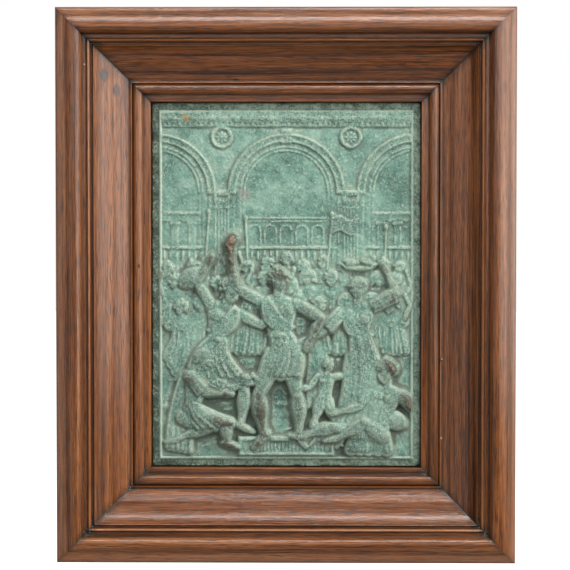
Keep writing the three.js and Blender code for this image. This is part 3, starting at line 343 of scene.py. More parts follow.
class Carving:
    # where two shapes meet the higher shows, with a small fillet between them
    def __init__(self, width, tall, step):
        self.x = np.linspace(-width / 2, width / 2, int(round(width / step)) + 1)
        self.z = np.linspace(-tall / 2, tall / 2, int(round(tall / step)) + 1)
        self.h = np.zeros((len(self.z), len(self.x)))
        self.depth = 1.0
        self.draft = 3.0

    def window(self, x0, x1, z0, z1):
        i0, i1 = np.searchsorted(self.x, (x0, x1))
        j0, j1 = np.searchsorted(self.z, (z0, z1))
        gridX, gridZ = np.meshgrid(self.x[i0:i1], self.z[j0:j1])
        return (slice(j0, j1), slice(i0, i1)), gridX, gridZ

    def around(self, rows, reach):
        xs, zs = [row[0] for row in rows], [row[1] for row in rows]
        return self.window(min(xs) - reach, max(xs) + reach, min(zs) - reach, max(zs) + reach)

    def join(self, a, b, blend):
        return np.maximum(a, b) + np.maximum(blend - np.abs(a - b), 0) ** 2 / (4 * blend)

    def dome(self, e, rise, radius):
        q = self.draft * radius / np.maximum(rise, 1e-6)
        turn = q / np.sqrt(q * q + 1)
        return rise * np.sqrt(1 - np.minimum(e, turn) ** 2) - self.draft * radius * np.maximum(e - turn, 0)

    def form(self, rows, squash=1.0, blend=0.3, moat=0.0, steps=5):
        # a rounded form along rows of x, z, height of its axis, radius
        moatWide = carvingSizes["moatWide"]
        full = squash * self.depth
        line = through(rows, steps) if len(rows) > 1 else [np.array(rows[0], float)] * 2
        spine = [(p[0], p[1], p[2] * self.depth, max(p[3], 0.05)) for p in line]
        high = max(max(p[2] + p[3] * full for p in spine), 0.3)
        area, gridX, gridZ = self.around(spine, max(p[3] for p in spine) + high / self.draft + moatWide)
        if gridX.size == 0:
            return
        top = np.full(gridX.shape, -99.0)
        near = np.full(gridX.shape, 99.0)
        shoulder = np.zeros(gridX.shape)
        for a, b in zip(spine, spine[1:]):
            t, away = spineDistance(gridX, gridZ, a, b)
            r = mix(a[3], b[3], t)
            top = np.maximum(top, mix(a[2], b[2], t) + self.dome(away / r, full * r, r))
            closer = away - r < near
            shoulder = np.where(closer, mix(a[2], b[2], t) + 0.35 * full * r, shoulder)
            near = np.where(closer, away - r, near)
        ground = self.h[area]
        if moat:
            cut = np.clip(1 - near / moatWide, 0, 1) ** 2 * np.clip((shoulder - ground) / 0.25, 0, 1)
            ground = ground - carvingSizes["moatDeep"] * moat * cut * (ground > 0) * (near > -0.3)
        self.h[area] = self.join(ground, top, blend)

    def eggFrame(self, gridX, gridZ, x, z, rx, rz, turn):
        c, s = math.cos(math.radians(turn)), math.sin(math.radians(turn))
        return ((gridX - x) * c + (gridZ - z) * s) / rx, (-(gridX - x) * s + (gridZ - z) * c) / rz

    def egg(self, x, z, lift, rx, rz, rise, turn=0.0, blend=0.25):
        base, up = lift * self.depth, rise * self.depth
        area, gridX, gridZ = self.around([(x, z)], 1.3 * max(rx, rz) + max(base + up, 0.3) / self.draft + 0.5)
        if gridX.size:
            e = np.hypot(*self.eggFrame(gridX, gridZ, x, z, rx, rz, turn))
            self.h[area] = self.join(self.h[area], base + self.dome(e, up, min(rx, rz)), blend)

    def hollow(self, x, z, rx, rz, deep, turn=0.0):
        area, gridX, gridZ = self.around([(x, z)], 2.4 * max(rx, rz))
        u, v = self.eggFrame(gridX, gridZ, x, z, rx, rz, turn)
        self.h[area] -= deep * np.exp(-u * u - v * v)

    def channel(self, rows, steps=1):
        # a shallow channel along rows of x, z, half width, depth
        line = through(rows, steps)
        area, gridX, gridZ = self.around(line, 2.5 * max(p[2] for p in line))
        cut = np.zeros(gridX.shape)
        for a, b in zip(line, line[1:]):
            t, away = spineDistance(gridX, gridZ, a, b)
            cut = np.maximum(cut, mix(a[3], b[3], t) * np.exp(-(away / mix(a[2], b[2], t)) ** 2))
        self.h[area] -= cut

    def raiseFlat(self, area, out, front, bevel):
        # a flat of this height, falling at the bevel with the distance out from its edge
        flat = front - bevel * np.maximum(out, 0)
        self.h[area] = self.join(self.h[area], flat, carvingSizes["fillet"])

    def slab(self, x0, x1, z0, z1, front, bevel=carvingSizes["bevel"]):
        reach = max(front, 0.3) / bevel + 0.4
        area, gridX, gridZ = self.window(x0 - reach, x1 + reach, z0 - reach, z1 + reach)
        out = np.maximum(np.maximum(x0 - gridX, gridX - x1), np.maximum(z0 - gridZ, gridZ - z1))
        self.raiseFlat(area, out, front, bevel)

    def arc(self, x, z, r0, r1, front, whole=False, bevel=carvingSizes["bevel"]):
        reach = r1 + max(front, 0.3) / bevel + 0.4
        area, gridX, gridZ = self.window(x - reach, x + reach, z - reach if whole else z, z + reach)
        r = np.hypot(gridX - x, gridZ - z)
        self.raiseFlat(area, np.maximum(r0 - r, r - r1), front, bevel)


class Local:
    # a frame on the sheet with its own unit: two numbers for the place, then height and radius
    def __init__(self, sheet, at, lift, unit):
        self.sheet, self.at, self.lift, self.unit = sheet, at, lift, unit

    def row(self, a, b, high, radius):
        return (*self.at(a, b), self.lift + high * self.unit, radius * self.unit)

    def form(self, rows, *finish):
        self.sheet.form([self.row(*row) for row in rows], *finish)

    def egg(self, a, b, high, wide, tall, rise, turn=0.0, blend=0.25):
        u = self.unit
        self.sheet.egg(*self.at(a, b), self.lift + high * u, wide * u, tall * u, rise * u, turn, blend)

    def hollow(self, a, b, wide, tall, deep):
        self.sheet.hollow(*self.at(a, b), wide * self.unit, tall * self.unit, deep * self.unit)

    def channel(self, rows, steps=1):
        self.sheet.channel([(*self.at(a, b), wide * self.unit, deep * self.unit)
                            for a, b, wide, deep in rows], steps)


# ---- the arcade behind the crowd ----

arcade = {
    "spring": 35.5, "radius": 19.4, "pier": 24.6, "pierHalf": 5.0, "shaftHalf": 2.6,
    "foot": -14.0, "half": 47.4, "roundelRise": 21.0,
    "coffers": 25, "voussoirs": 13, "dentils": 48, "balusters": 40, "rowHalf": 46.6,
    # inner and outer edge from the opening, height
    "orders": ((-3.6, -2.6, 0.28), (-2.2, -0.2, 0.45), (0, 2.6, 0.95), (2.0, 2.6, 1.15)),
    "fillets": ((-3.5, 0.55), (-2.1, 0.75), (0.1, 1.25), (2.5, 1.4)),
    # foot, top, height
    "cornice": ((60.6, 61.3, 0.8), (61.3, 62.3, 0.65), (62.3, 63.2, 1.2), (63.2, 64.6, 1.5), (64.6, 66, 1.2)),
    "farCornice": ((24.3, 25.3, 0.38), (25.3, 27, 0.3), (27, 28, 0.6)), "farEnd": 32.6,
    "farColumns": (36.0, 42.5), "farTop": 24,
    # the open gallery in the middle
    "galleryArches": 5, "gallerySpan": 6, "gallerySpring": 20.6, "galleryHalf": 15.4,
    "galleryBands": ((24.0, 24.7, 0.34), (25.3, 25.9, 0.42)), "parapet": (13.8, 14.8, 0.75),
}


def carveArches(sheet):
    spring, radius = arcade["spring"], arcade["radius"]

    def joints(x, count, margin, r0, r1, wide, deep):
        # short cuts across the arch, evenly round it
        for i in range(count):
            a = math.radians(margin + (180 - 2 * margin) * i / (count - 1))
            sheet.channel([(x + math.cos(a) * r, spring + math.sin(a) * r, wide, deep) for r in (r0, r1)])

    for x in (-2 * arcade["pier"], 0, 2 * arcade["pier"]):
        for inner, outer, front in arcade["orders"]:
            sheet.arc(x, spring, radius + inner, radius + outer, front)
            for side in (-1, 1):
                if outer < 0:
                    a, b = sorted((x + side * (radius + inner), x + side * (radius + outer)))
                    sheet.slab(a, b, arcade["foot"], spring, front)
        for line, front in arcade["fillets"]:
            sheet.arc(x, spring, radius + line - 0.24, radius + line + 0.24, front)
        joints(x, arcade["coffers"], 4, radius - 2.1, radius - 0.4, 0.22, 0.3)
        joints(x, arcade["voussoirs"], 7, radius + 0.2, radius + 1.8, 0.16, 0.2)
        key = spring + radius
        sheet.slab(x - 1.7, x + 1.7, key - 0.6, key + 4.6, 1.3)
        sheet.form([(x - 1.1, key + 3.6, 0.9, 0.7), (x + 1.1, key + 3.6, 0.9, 0.7)], 0.7, 0.1)
        sheet.form([(x, key + 2.6, 1.0, 0.9), (x, key + 0.4, 1.0, 0.6)], 0.7, 0.1)


def carvePiers(sheet):
    spring, foot = arcade["spring"], arcade["foot"]
    wide, shaft = arcade["pierHalf"], arcade["shaftHalf"]
    for x in (-arcade["pier"], arcade["pier"]):
        sheet.slab(x - wide, x + wide, foot, spring, 0.75)
        sheet.slab(x - shaft, x + shaft, foot, spring - 3, 1.1)
        for i in range(4):
            flute = x - 1.8 + i * 1.2
            sheet.channel([(flute, foot + 2, 0.28, 0.42), (flute, spring - 6.4, 0.28, 0.42)])
        sheet.slab(x - shaft - 0.3, x + shaft + 0.3, spring - 6.2, spring - 5.5, 1.3)
        for side in (-1, 1):
            sheet.form([(x + side * 2.5, spring - 2.2, 0.9, 0.85)], 0.8, 0.1)
            sheet.hollow(x + side * 2.5, spring - 2.2, 0.3, 0.3, 0.35)
            for k in range(3):
                sheet.form([(x + side * (0.3 + 0.8 * k), spring - 5.4, 0.8, 0.4),
                            (x + side * (0.4 + 0.9 * k), spring - 4, 1.0, 0.45),
                            (x + side * (0.8 + 0.95 * k), spring - 3, 1.2, 0.36)], 0.8, 0.08)
        sheet.slab(x - shaft - 0.6, x + shaft + 0.6, spring - 1.3, spring - 0.4, 1.4)
        sheet.slab(x - wide - 0.3, x + wide + 0.3, spring - 0.5, spring + 0.6, 1.35)
        z = spring + arcade["roundelRise"]
        sheet.arc(x, z, 3.0, 4.0, 0.9, True)
        sheet.arc(x, z, 3.7, 4.0, 1.15, True)
        for i in range(8):
            a = math.radians(45 * i)
            sheet.egg(x + math.cos(a) * 1.5, z + math.sin(a) * 1.5, 0.2, 1.0, 0.55, 0.65, 45 * i, 0.06)
        sheet.egg(x, z, 0.5, 0.7, 0.7, 0.6, 0, 0.06)


def carveFarBuildings(sheet):
    half, reach = arcade["half"], arcade["rowHalf"]
    top = arcade["farTop"]
    for side in (-1, 1):
        for x in arcade["farColumns"]:
            x *= side
            sheet.slab(x - 1.3, x + 1.3, 0, top, 0.42)
            sheet.slab(x - 1.8, x + 1.8, top - 0.8, top + 0.3, 0.6)
            for off in (-0.4, 0.5):
                sheet.channel([(x + off, 6, 0.18, 0.18), (x + off, top - 1.2, 0.18, 0.18)])
        a, b = sorted((side * arcade["farEnd"], side * half))
        for band in arcade["farCornice"]:
            sheet.slab(a, b, *band)
    for i in range(arcade["galleryArches"]):
        x, spring = (i - 2) * arcade["gallerySpan"], arcade["gallerySpring"]
        sheet.arc(x, spring, 1.9, 2.6, 0.3)
        for side in (-1, 1):
            sheet.slab(x + side * 2.25 - 0.35, x + side * 2.25 + 0.35, 8, spring, 0.3)
    for band in arcade["galleryBands"]:
        sheet.slab(-arcade["galleryHalf"], arcade["galleryHalf"], *band)
    for band in arcade["cornice"]:
        sheet.slab(-half, half, *band)
    for i in range(arcade["dentils"]):
        x = mix(-reach, reach, i / (arcade["dentils"] - 1))
        sheet.slab(x - 0.5, x + 0.5, 61.4, 62.3, 1.1)
    sheet.slab(-half, half, *arcade["parapet"])
    for i in range(arcade["balusters"]):
        x = mix(-reach, reach, i / (arcade["balusters"] - 1))
        sheet.form([(x, 13.4, 0.2, 0.3), (x, 11.4, 0.3, 0.6), (x, 9.6, 0.2, 0.35)], 0.8, 0.1)


# ---- people ----

headSizes = {
    "rise": 0.8, "top": 0.688,   # height of the skull and of the face, in half heads
    "curls": 38, "wreathCurls": 18, "leaves": 11, "locks": 17, "turbanRolls": 5, "hoodRims": 4,
    "combed": 9, "beardLocks": 11,
}


def carveFace(head, f, face, roll):
    # calm and plain: brow, lids, cheeks, nose, lips and chin by the usual thirds
    top = headSizes["top"]
    head.form([(f - 0.42, 0.18, top - 0.16, 0.12), (f * 1.25, 0.12, top - 0.04, 0.11),
               (f + 0.42, 0.18, top - 0.16, 0.12)], 0.8, 0.1)
    for e in (-1, 1):
        if abs(face) > 0.75 and e * face < 0:
            continue
        eye = e * 0.25 + f * 1.1
        head.hollow(eye, -0.02, 0.17, 0.1, 0.1)
        head.egg(eye, -0.03, top - 0.3, 0.11, 0.07, 0.14, -roll, 0.05)
        head.egg(e * 0.32 + f, -0.3, top - 0.42, 0.2, 0.2, 0.26, 0, 0.15)
    head.form([(f * 1.35, 0.1, top - 0.1, 0.07), (f * 1.6 + face * 0.12, -0.3, top, 0.1)], 0.9, 0.08)
    head.egg(f * 1.25, -0.5, top - 0.3, 0.2, 0.11, 0.2, -roll, 0.08)
    head.channel([(f * 1.25 + e * 0.17, -0.51, 0.05, 0.05) for e in (-1, 1)])
    head.egg(f * 1.2, -0.78, top - 0.42, 0.18, 0.16, 0.26, -roll, 0.1)


def evenly(count):
    # numbers from -1 to 1, with their place in the row
    return [(i, 2 * i / (count - 1) - 1) for i in range(count)]


def carveBeard(head, f, seed):
    rise, top = headSizes["rise"], headSizes["top"]
    for i, t in evenly(headSizes["beardLocks"]):
        bow = 1 - t * t
        head.form([(f * 1.1 + t * 0.5, -0.38 - 0.2 * bow, rise * 0.68, 0.1),
                   (f * 1.15 + t * 0.46 + 0.05 * vary(seed + i), -0.75 - 0.12 * bow, rise * 0.74, 0.12),
                   (f * 1.2 + t * 0.3 + 0.1 * vary(seed + i + 0.5), -1.0 - 0.25 * bow, rise * 0.45, 0.09)],
                  1.3, 0.05)
    for e in (-1, 1):
        head.form([(f * 1.25, -0.44, top - 0.22, 0.08), (f * 1.2 + e * 0.3, -0.54, top - 0.34, 0.08)],
                  1.2, 0.04)


def carveCurls(head, f, face, seed, count=headSizes["curls"]):
    for i in range(count):
        a = math.radians(90 + 125 * vary(seed + i))
        r = 0.76 + 0.26 * vary(seed + i + 0.3)
        u, v = math.cos(a) * r * 0.86 - f * 0.5, math.sin(a) * r * 0.95 + 0.1
        if v < 0.3 and abs(u - f) < 0.5:
            continue
        up = headSizes["rise"] * 0.9 * math.sqrt(max(0, 1 - r * r * 0.8))
        head.egg(u, v, up, 0.16, 0.12, 0.24, 90 * vary(seed + i + 0.7), 0.04)


def carveWreath(head, f, face, seed):
    carveCurls(head, f, face, seed, headSizes["wreathCurls"])
    for i, t in evenly(headSizes["leaves"]):
        head.egg(t * 0.78, 0.52 - 0.25 * t * t, headSizes["rise"] * (0.9 - 0.45 * t * t), 0.14, 0.07, 0.14,
                 (60 if i % 2 else -60) + 40 * t, 0.04)


def carveLocks(head, f, face, seed):
    rise = headSizes["rise"]
    for _, t in evenly(headSizes["locks"]):
        end = (t * 0.8 - f * 0.2, 0.34) if abs(t) < 0.5 else (t - f * 0.7, -0.25 - 0.45 * abs(t))
        head.form([(t * 0.2 - f * 0.6, 0.95, rise * 0.45, 0.1),
                   (t * 0.86 - f * 0.5, 0.45, rise * (0.98 - 0.5 * abs(t)), 0.12),
                   (*end, rise * (0.8 - 0.45 * abs(t)), 0.08)], 1.4, 0.04)


def carveTurban(head, f, face, seed):
    for i in range(headSizes["turbanRolls"]):
        v, w = 0.3 + i * 0.17, 0.78 - 0.12 * i
        head.form([(-w - f * 0.3, v - 0.08, 0.1, 0.12),
                   (-f * 0.2, v + 0.12, headSizes["rise"] * (0.95 - 0.12 * i), 0.16),
                   (w - f * 0.3, v - 0.08, 0.1, 0.12)], 1, 0.05)


def carveHood(head, f, face, seed):
    for k in range(headSizes["hoodRims"]):
        g = 0.8 + 0.14 * k
        turns = [math.radians(-40 + i * 260 / 6) for i in range(7)]
        head.form([(math.cos(a) * g * 0.82 - f * 0.3, math.sin(a) * g * 0.92 + 0.05,
                    headSizes["rise"] * (0.5 - 0.16 * k), 0.13) for a in turns], 1.2, 0.06)


def carveBun(head, f, face, seed):
    rise = headSizes["rise"]
    for _, t in evenly(headSizes["combed"]):
        head.form([(t * 0.75 + f * 0.2, 0.15 + 0.1 * (1 - t * t), rise * (0.8 - 0.4 * abs(t)), 0.1),
                   ((t * 0.75 - 0.9 * face) / 2, 0.72 - 0.3 * abs(t), rise * 0.75, 0.13),
                   (-0.81 * face, 0.45, rise * 0.5, 0.1)], 1.2, 0.05)
    head.egg(-face, 0.42, rise * 0.3, 0.3, 0.3, 0.3, 0, 0.08)


hairStyles = {"curls": carveCurls, "hood": carveHood, "locks": carveLocks, "turban": carveTurban,
              "wreath": carveWreath, "bun": carveBun}


def carveHead(sheet, x, z, lift, size, roll, face, hair, beard):
    # face runs from -1, looking left, to 1, looking right
    s = size / 2
    c, n = math.cos(math.radians(roll)), math.sin(math.radians(roll))
    head = Local(sheet, lambda u, v: (x + (u * c + v * n) * s, z + (-u * n + v * c) * s), lift, s)
    rise, f = headSizes["rise"], face * 0.34
    seed = abs(x * 7 + z * 3)
    head.egg(-0.12 * face, 0.18, 0, 0.74 + 0.12 * abs(face), 0.84, rise * 0.92, -roll, 0.2)
    head.egg(0.16 * face, -0.22, 0, 0.58, 0.74, rise, -roll, 0.2)
    carveFace(head, f, face, roll)
    if beard:
        carveBeard(head, f, seed)
    hairStyles[hair](head, f, face, seed)


def carveCloth(sheet, top, hem, folds, radius, lifts, belly=0.0, sway=0.0, seed=1, moat=0.0):
    # cloth hung from a top line to a hem line, in folds that spread as they fall
    (ax, az), (bx, bz) = top
    (cx, cz), (dx, dz) = hem

    def place(s, t):
        return (mix(mix(ax, bx, s), mix(cx, dx, s), t) + sway * math.sin(math.pi * t),
                mix(mix(az, bz, s), mix(cz, dz, s), t))

    for i in range(5):
        s = (i + 0.5) / 5
        rows = []
        for t in (0, 0.33, 0.66, 1):
            r = max(mix(math.hypot(bx - ax, bz - az), math.hypot(dx - cx, dz - cz), t) * 0.15, radius)
            full = belly * math.sin(math.pi * t) * math.sin(math.pi * s)
            rows.append((*place(s, t), mix(lifts[0], lifts[1], t) + full - 0.35 * r - 0.2, r))
        sheet.form(rows, 0.55, 0.3, moat if i in (0, 4) else 0)
    for i in range(folds):
        s = (i + 0.5 + 0.3 * vary(seed + i)) / folds
        end = s + 0.5 * vary(seed + i + 0.3) / folds
        edge = 1 - (2 * s - 1) ** 2
        thick = radius * (1 + 0.35 * vary(seed + i + 0.6))
        start = max(0, 0.25 * vary(seed + i + 0.8))
        rows = []
        for k in range(5):
            t = k / 4
            q = mix(start, 1, t)
            px, pz = place(mix(s, end, q), q)
            px += 0.22 * thick * vary(seed + i * 5 + k + 0.1)
            full = belly * math.sin(math.pi * q) * edge + 0.3 * edge - 0.15
            rows.append((px, pz + 0.35 * vary(seed + i + 0.4) * q ** 4, mix(lifts[0], lifts[1], q) + full,
                         thick * (0.45 + 0.75 * q)))
        sheet.form(rows, 1.5, 0.1)


def carveLimb(sheet, a, b, radii, bow=0.0, moat=0.3):
    dx, dz = b[0] - a[0], b[1] - a[1]
    long = max(math.hypot(dx, dz), 1e-6)
    rows = []
    for i, r in enumerate(radii):
        t = i / (len(radii) - 1)
        out = bow * math.sin(math.pi * t)
        rows.append((a[0] + dx * t - dz / long * out, a[1] + dz * t + dx / long * out, mix(a[2], b[2], t), r))
    sheet.form(rows, 0.85, 0.2, moat)


def poseJoints(sheet, pose):
    # a frame along the spine and the joints of one figure, eight heads tall, from its angles
    u = pose["tall"] / 8
    lean, turn = pose.get("lean", 0), pose.get("turn", 0)
    sx, sz = math.sin(math.radians(lean)), math.cos(math.radians(lean))
    wide = math.cos(math.radians(turn * 90))
    hipWide = max(math.cos(math.radians(turn * 45)), 0.35)
    hipX, hipZ = pose["hips"]

    def spine(up, across):
        return hipX + (sx * up + sz * across) * u, hipZ + (sz * up - sx * across) * u

    body = Local(sheet, spine, pose["lift"], u)

    def chain(start, limb, lengths):
        upper, lower, shortA, shortB, liftA, liftB = limb[:6]
        ax, az = toward(upper, lengths[0] * u * shortA)
        bx, bz = toward(lower, lengths[1] * u * shortB)
        return ((start[0] + ax, start[1] + az, start[2] + liftA * u),
                (start[0] + ax + bx, start[1] + az + bz, start[2] + liftB * u))

    sides = []
    for e, leg, arm in zip((-1, 1), pose["legs"], pose["arms"]):
        tilt = math.radians(lean + pose.get("tilt", 0))
        bx, bz = body.at(2.45, 0)
        shoulder = (bx + math.cos(tilt) * e * wide * 0.86 * u, bz - math.sin(tilt) * e * wide * 0.86 * u,
                    pose["lift"] + (0.15 - turn * e * 0.45) * u)
        hip = body.row(0, e * 0.42 * hipWide, 0.2 - turn * e * 0.125, 0)[:3]
        knee, ankle = chain(hip, leg, (2.0, 1.95))
        elbow, wrist = chain(shoulder, arm, (1.42, 1.2))
        sides.append({"e": e, "leg": leg, "arm": arm, "hip": hip, "knee": knee, "ankle": ankle,
                      "shoulder": shoulder, "elbow": elbow, "wrist": wrist})
    return body, wide, sides


def carveLeg(sheet, u, g, side):
    hip, knee, ankle, e = side["hip"], side["knee"], side["ankle"], side["e"]
    carveLimb(sheet, knee, ankle, [r * u for r in (0.25, 0.3 * g, 0.3 * g, 0.22, 0.16, 0.14)], 0.06 * u * e)
    carveLimb(sheet, (hip[0], hip[1], hip[2] - 0.1 * u), knee,
              [r * u for r in (0.4 * g, 0.43 * g, 0.39 * g, 0.31, 0.25)], -0.04 * u * e)
    sheet.egg(knee[0], knee[1], knee[2] + 0.1 * u, 0.17 * u, 0.2 * u, 0.2 * u, 0, 0.12)
    fx, fz = toward(side["leg"][6], 0.52 * u)
    x, z, lift = ankle
    sheet.form([(x - fx * 0.25, z - fz * 0.25, lift - 0.05 * u, 0.15 * u),
                (x + fx * 0.5, z + fz * 0.5 - 0.05 * u, lift - 0.02 * u, 0.16 * u),
                (x + fx * 1.35, z + fz * 1.35 - 0.08 * u, lift - 0.2 * u, 0.11 * u)], 0.7, 0.15, 0.25)
    for i in (-1, 0, 1):
        off = i * 0.07 / 0.52
        tx, tz = x + fx * 1.15 - fz * off, z + fz * 1.15 + fx * off - 0.08 * u
        sheet.channel([(tx, tz, 0.035 * u, 0.02 * u), (tx + fx * 0.3, tz + fz * 0.3, 0.035 * u, 0.045 * u)])


def carveTrunk(body, pose, g, wide, sides):
    turn, lean, u = pose.get("turn", 0), pose.get("lean", 0), body.unit
    hips = [(*side["hip"][:2], side["hip"][2] - 0.15 * u, 0.42 * u * g) for side in sides]
    body.sheet.form(hips, 0.8, 0.3, 0.3)
    for e in (-1, 1):
        body.form([(0.3, e * 0.18 * wide, 0.05, 0.38 * g), (1.3, e * 0.24 * wide, 0.12, 0.36 * g),
                   (2.1, e * 0.42 * wide, 0.1 - turn * e * 0.3, 0.42)], 0.95, 0.35, 0.3)
    ends = [(side["shoulder"][0], side["shoulder"][1] - 0.12 * u, side["shoulder"][2] - 0.15 * u, 0.29 * u)
            for side in sides]
    body.sheet.form([ends[0], body.row(2.5, 0, 0.1, 0.32), ends[1]], 0.9, 0.3, 0.25)
    if pose.get("dressed"):
        for e in (-1, 1):
            body.egg(1.9, e * 0.36 * wide + turn * 0.2, 0.38 - turn * e * 0.25, 0.3, 0.3, 0.3, -lean, 0.12)
        for _, s in evenly(7):
            # the gathers of a dress over the chest
            body.form([(2.35, s * 0.5 * wide, 0.32, 0.05),
                       (1.9, s * 0.62 * wide + turn * 0.15, 0.6 - 0.15 * abs(s), 0.06),
                       (1.1, s * 0.42 * wide, 0.42, 0.05)], 1.3, 0.08)
        return
    for e in (-1, 1):
        body.egg(2.02, e * 0.36 * wide + turn * 0.2, 0.38 - turn * e * 0.25, 0.36, 0.27, 0.2, -lean, 0.12)
        for v in (0.45, 0.85, 1.2):
            body.egg(v, e * 0.16 * wide + turn * 0.22, 0.36, 0.15, 0.16, 0.12, -lean, 0.1)
        for v in (1.62, 1.35):
            body.channel([(v, e * 0.22 * wide + turn * 0.2, 0.06, 0.03),
                          (v - 0.28, e * 0.52 * wide, 0.06, 0.03)], 2)
    body.channel([(0.4, turn * 0.25, 0.06, 0.03), (2.1, turn * 0.25, 0.07, 0.05)], 3)
    body.hollow(0.62, turn * 0.25, 0.06, 0.07, 0.05)


def carveSkirt(body, pose, wide, sides):
    skirt, u = pose["skirt"], body.unit
    hems = []
    for side in sides:
        down = skirt["down"]
        a, b, t = (side["hip"], side["knee"], down) if down <= 1 else (side["knee"], side["ankle"], down - 1)
        x, z, lift = (mix(a[k], b[k], t) for k in range(3))
        hems.append((x + side["e"] * skirt["flare"] * u, z, lift))
    waist, half = skirt.get("waist", 0.95), 0.5 * max(wide, 0.5)
    carveCloth(body.sheet, (body.at(waist, -half), body.at(waist, half)), (hems[0][:2], hems[1][:2]),
               round(skirt["folds"] * 1.4), skirt["thick"] * u,
               (body.lift + 0.42 * u, (hems[0][2] + hems[1][2]) / 2 + skirt["out"] * u),
               skirt.get("belly", 0.15) * u, skirt.get("sway", 0) * u, skirt["seed"], 0.3)
    body.form([(waist, -half, 0.1, 0.13), (waist - 0.06, pose.get("turn", 0) * 0.2, 0.52, 0.14),
               (waist, half, 0.1, 0.13)], 0.9, 0.08)


def carveSash(body, sash):
    (x0, z0), (x1, z1) = body.at(*sash["from"]), body.at(*sash["to"])
    dx, dz, u = x1 - x0, z1 - z0, body.unit
    long = math.hypot(dx, dz)
    for i in range(7):
        off = (i - 3) * sash["gap"] * u * 6 / 7
        thick = 0.09 * (1 + 0.25 * vary(i + 4))
        rows = []
        for t, spread, up, r in ((0, 0.5, 0.3, 0.08), (0.3, 1, 0.46, thick), (0.6, 1, 0.46, thick),
                                 (1, 0.8, 0.25, 0.07)):
            bend = (off * spread - sash["bend"] * u * math.sin(math.pi * t)) / long
            rows.append((x0 + dx * t - dz * bend, z0 + dz * t + dx * bend, body.lift + up * u, r * u))
        body.sheet.form(rows, 1.3, 0.08)


def carveArm(sheet, pose, u, g, side):
    shoulder, elbow, wrist = side["shoulder"], side["elbow"], side["wrist"]
    carveLimb(sheet, shoulder, elbow, [r * u for r in (0.28, 0.26 * g, 0.24 * g, 0.18)])
    carveLimb(sheet, elbow, wrist, [r * u for r in (0.18, 0.21 * g, 0.16, 0.11)])
    hx, hz = toward(side["arm"][1], 0.4 * u)
    x, z, lift = wrist
    sheet.form([(x, z, lift, 0.11 * u), (x + hx * 0.6, z + hz * 0.6, lift, 0.15 * u),
                (x + hx * 1.2, z + hz * 1.2, lift, 0.1 * u)], 0.7, 0.1, 0.2)
    for i in (-1, 0, 1):
        off = i * 0.07 / 0.4
        sheet.channel([(x + hx * 0.9 - hz * off, z + hz * 0.9 + hx * off, 0.03 * u, 0.02 * u),
                       (x + hx * 1.5 - hz * off * 1.3, z + hz * 1.5 + hx * off * 1.3, 0.03 * u, 0.04 * u)])
    if pose.get("sleeves"):
        nx, nz = toward(side["arm"][0] + 90, 0.3 * u)
        ex, ez = mix(shoulder[0], elbow[0], 0.85), mix(shoulder[1], elbow[1], 0.85)
        carveCloth(sheet, ((shoulder[0] - nx, shoulder[1] - nz), (shoulder[0] + nx, shoulder[1] + nz)),
                   ((ex - nx * 1.1, ez - nz * 1.1), (ex + nx * 1.1, ez + nz * 1.1)), 7, 0.07 * u,
                   (shoulder[2] + 0.3 * u, elbow[2] + 0.3 * u), 0.1 * u, 0, round(pose["tall"] + elbow[0]))


def carvePerson(sheet, pose):
    body, wide, sides = poseJoints(sheet, pose)
    g, u = pose.get("stout", 1.0), body.unit
    for cloak in pose.get("cloaks", ()):
        carveCloth(sheet, cloak["top"], cloak["hem"], round(cloak["folds"] * 1.4), cloak["thick"] * 0.85,
                   cloak["lifts"], 0.5, cloak["sway"], cloak["seed"], 0.25)
    for side in sorted(sides, key=lambda s: s["knee"][2]):
        carveLeg(sheet, u, g, side)
    carveTrunk(body, pose, g, wide, sides)
    if "skirt" in pose:
        carveSkirt(body, pose, wide, sides)
    for sash in pose.get("sashes", ()):
        carveSash(body, sash)
    nod = pose.get("lean", 0) + pose.get("nod", 0)
    neck, up = body.at(2.6, 0), toward(180 - nod, 0.92 * u)
    head = neck[0] + up[0], neck[1] + up[1]
    sheet.form([(*neck, body.lift + 0.25 * u, 0.23 * u), (*head, body.lift + 0.35 * u, 0.22 * u)],
               0.9, 0.2, 0.2)
    carveHead(sheet, *head, body.lift + 0.3 * u, 1.08 * u, nod, pose["face"], pose["hair"],
              pose.get("beard", False))
    for side in sorted(sides, key=lambda s: s["wrist"][2]):
        carveArm(sheet, pose, u, g, side)
    return [side["wrist"] for side in sides]


def carveTray(sheet, x, z, lift, half):
    sheet.form([(x - half, z + 0.5, lift, 0.5), (x - half * 0.6, z - 0.7, lift + 0.8, 0.8),
                (x + half * 0.6, z - 0.7, lift + 0.8, 0.8), (x + half, z + 0.5, lift, 0.5)], 0.8, 0.15, 0.25)
    for i in range(13):
        sheet.egg(x + 0.8 * half * vary(i + 0.5), z + 1.3 + 0.7 * vary(i + 40), lift + 0.6,
                  0.85, 0.85, 1.1, 0, 0.08)


jarShape = {
    # up the axis, out from it, radius
    "body": ((-1.15, 0, 0.3), (-0.75, 0, 0.62), (-0.1, 0.15, 0.86), (0.45, 0.05, 0.66), (0.85, 0, 0.32),
             (1.1, 0, 0.34)),
    "handle": ((0.95, 0.3, 0.09), (1.05, 0.75, 0.1), (0.6, 0.85, 0.1), (0.35, 0.7, 0.09)),
    "bands": (0.1, 0.35),
}


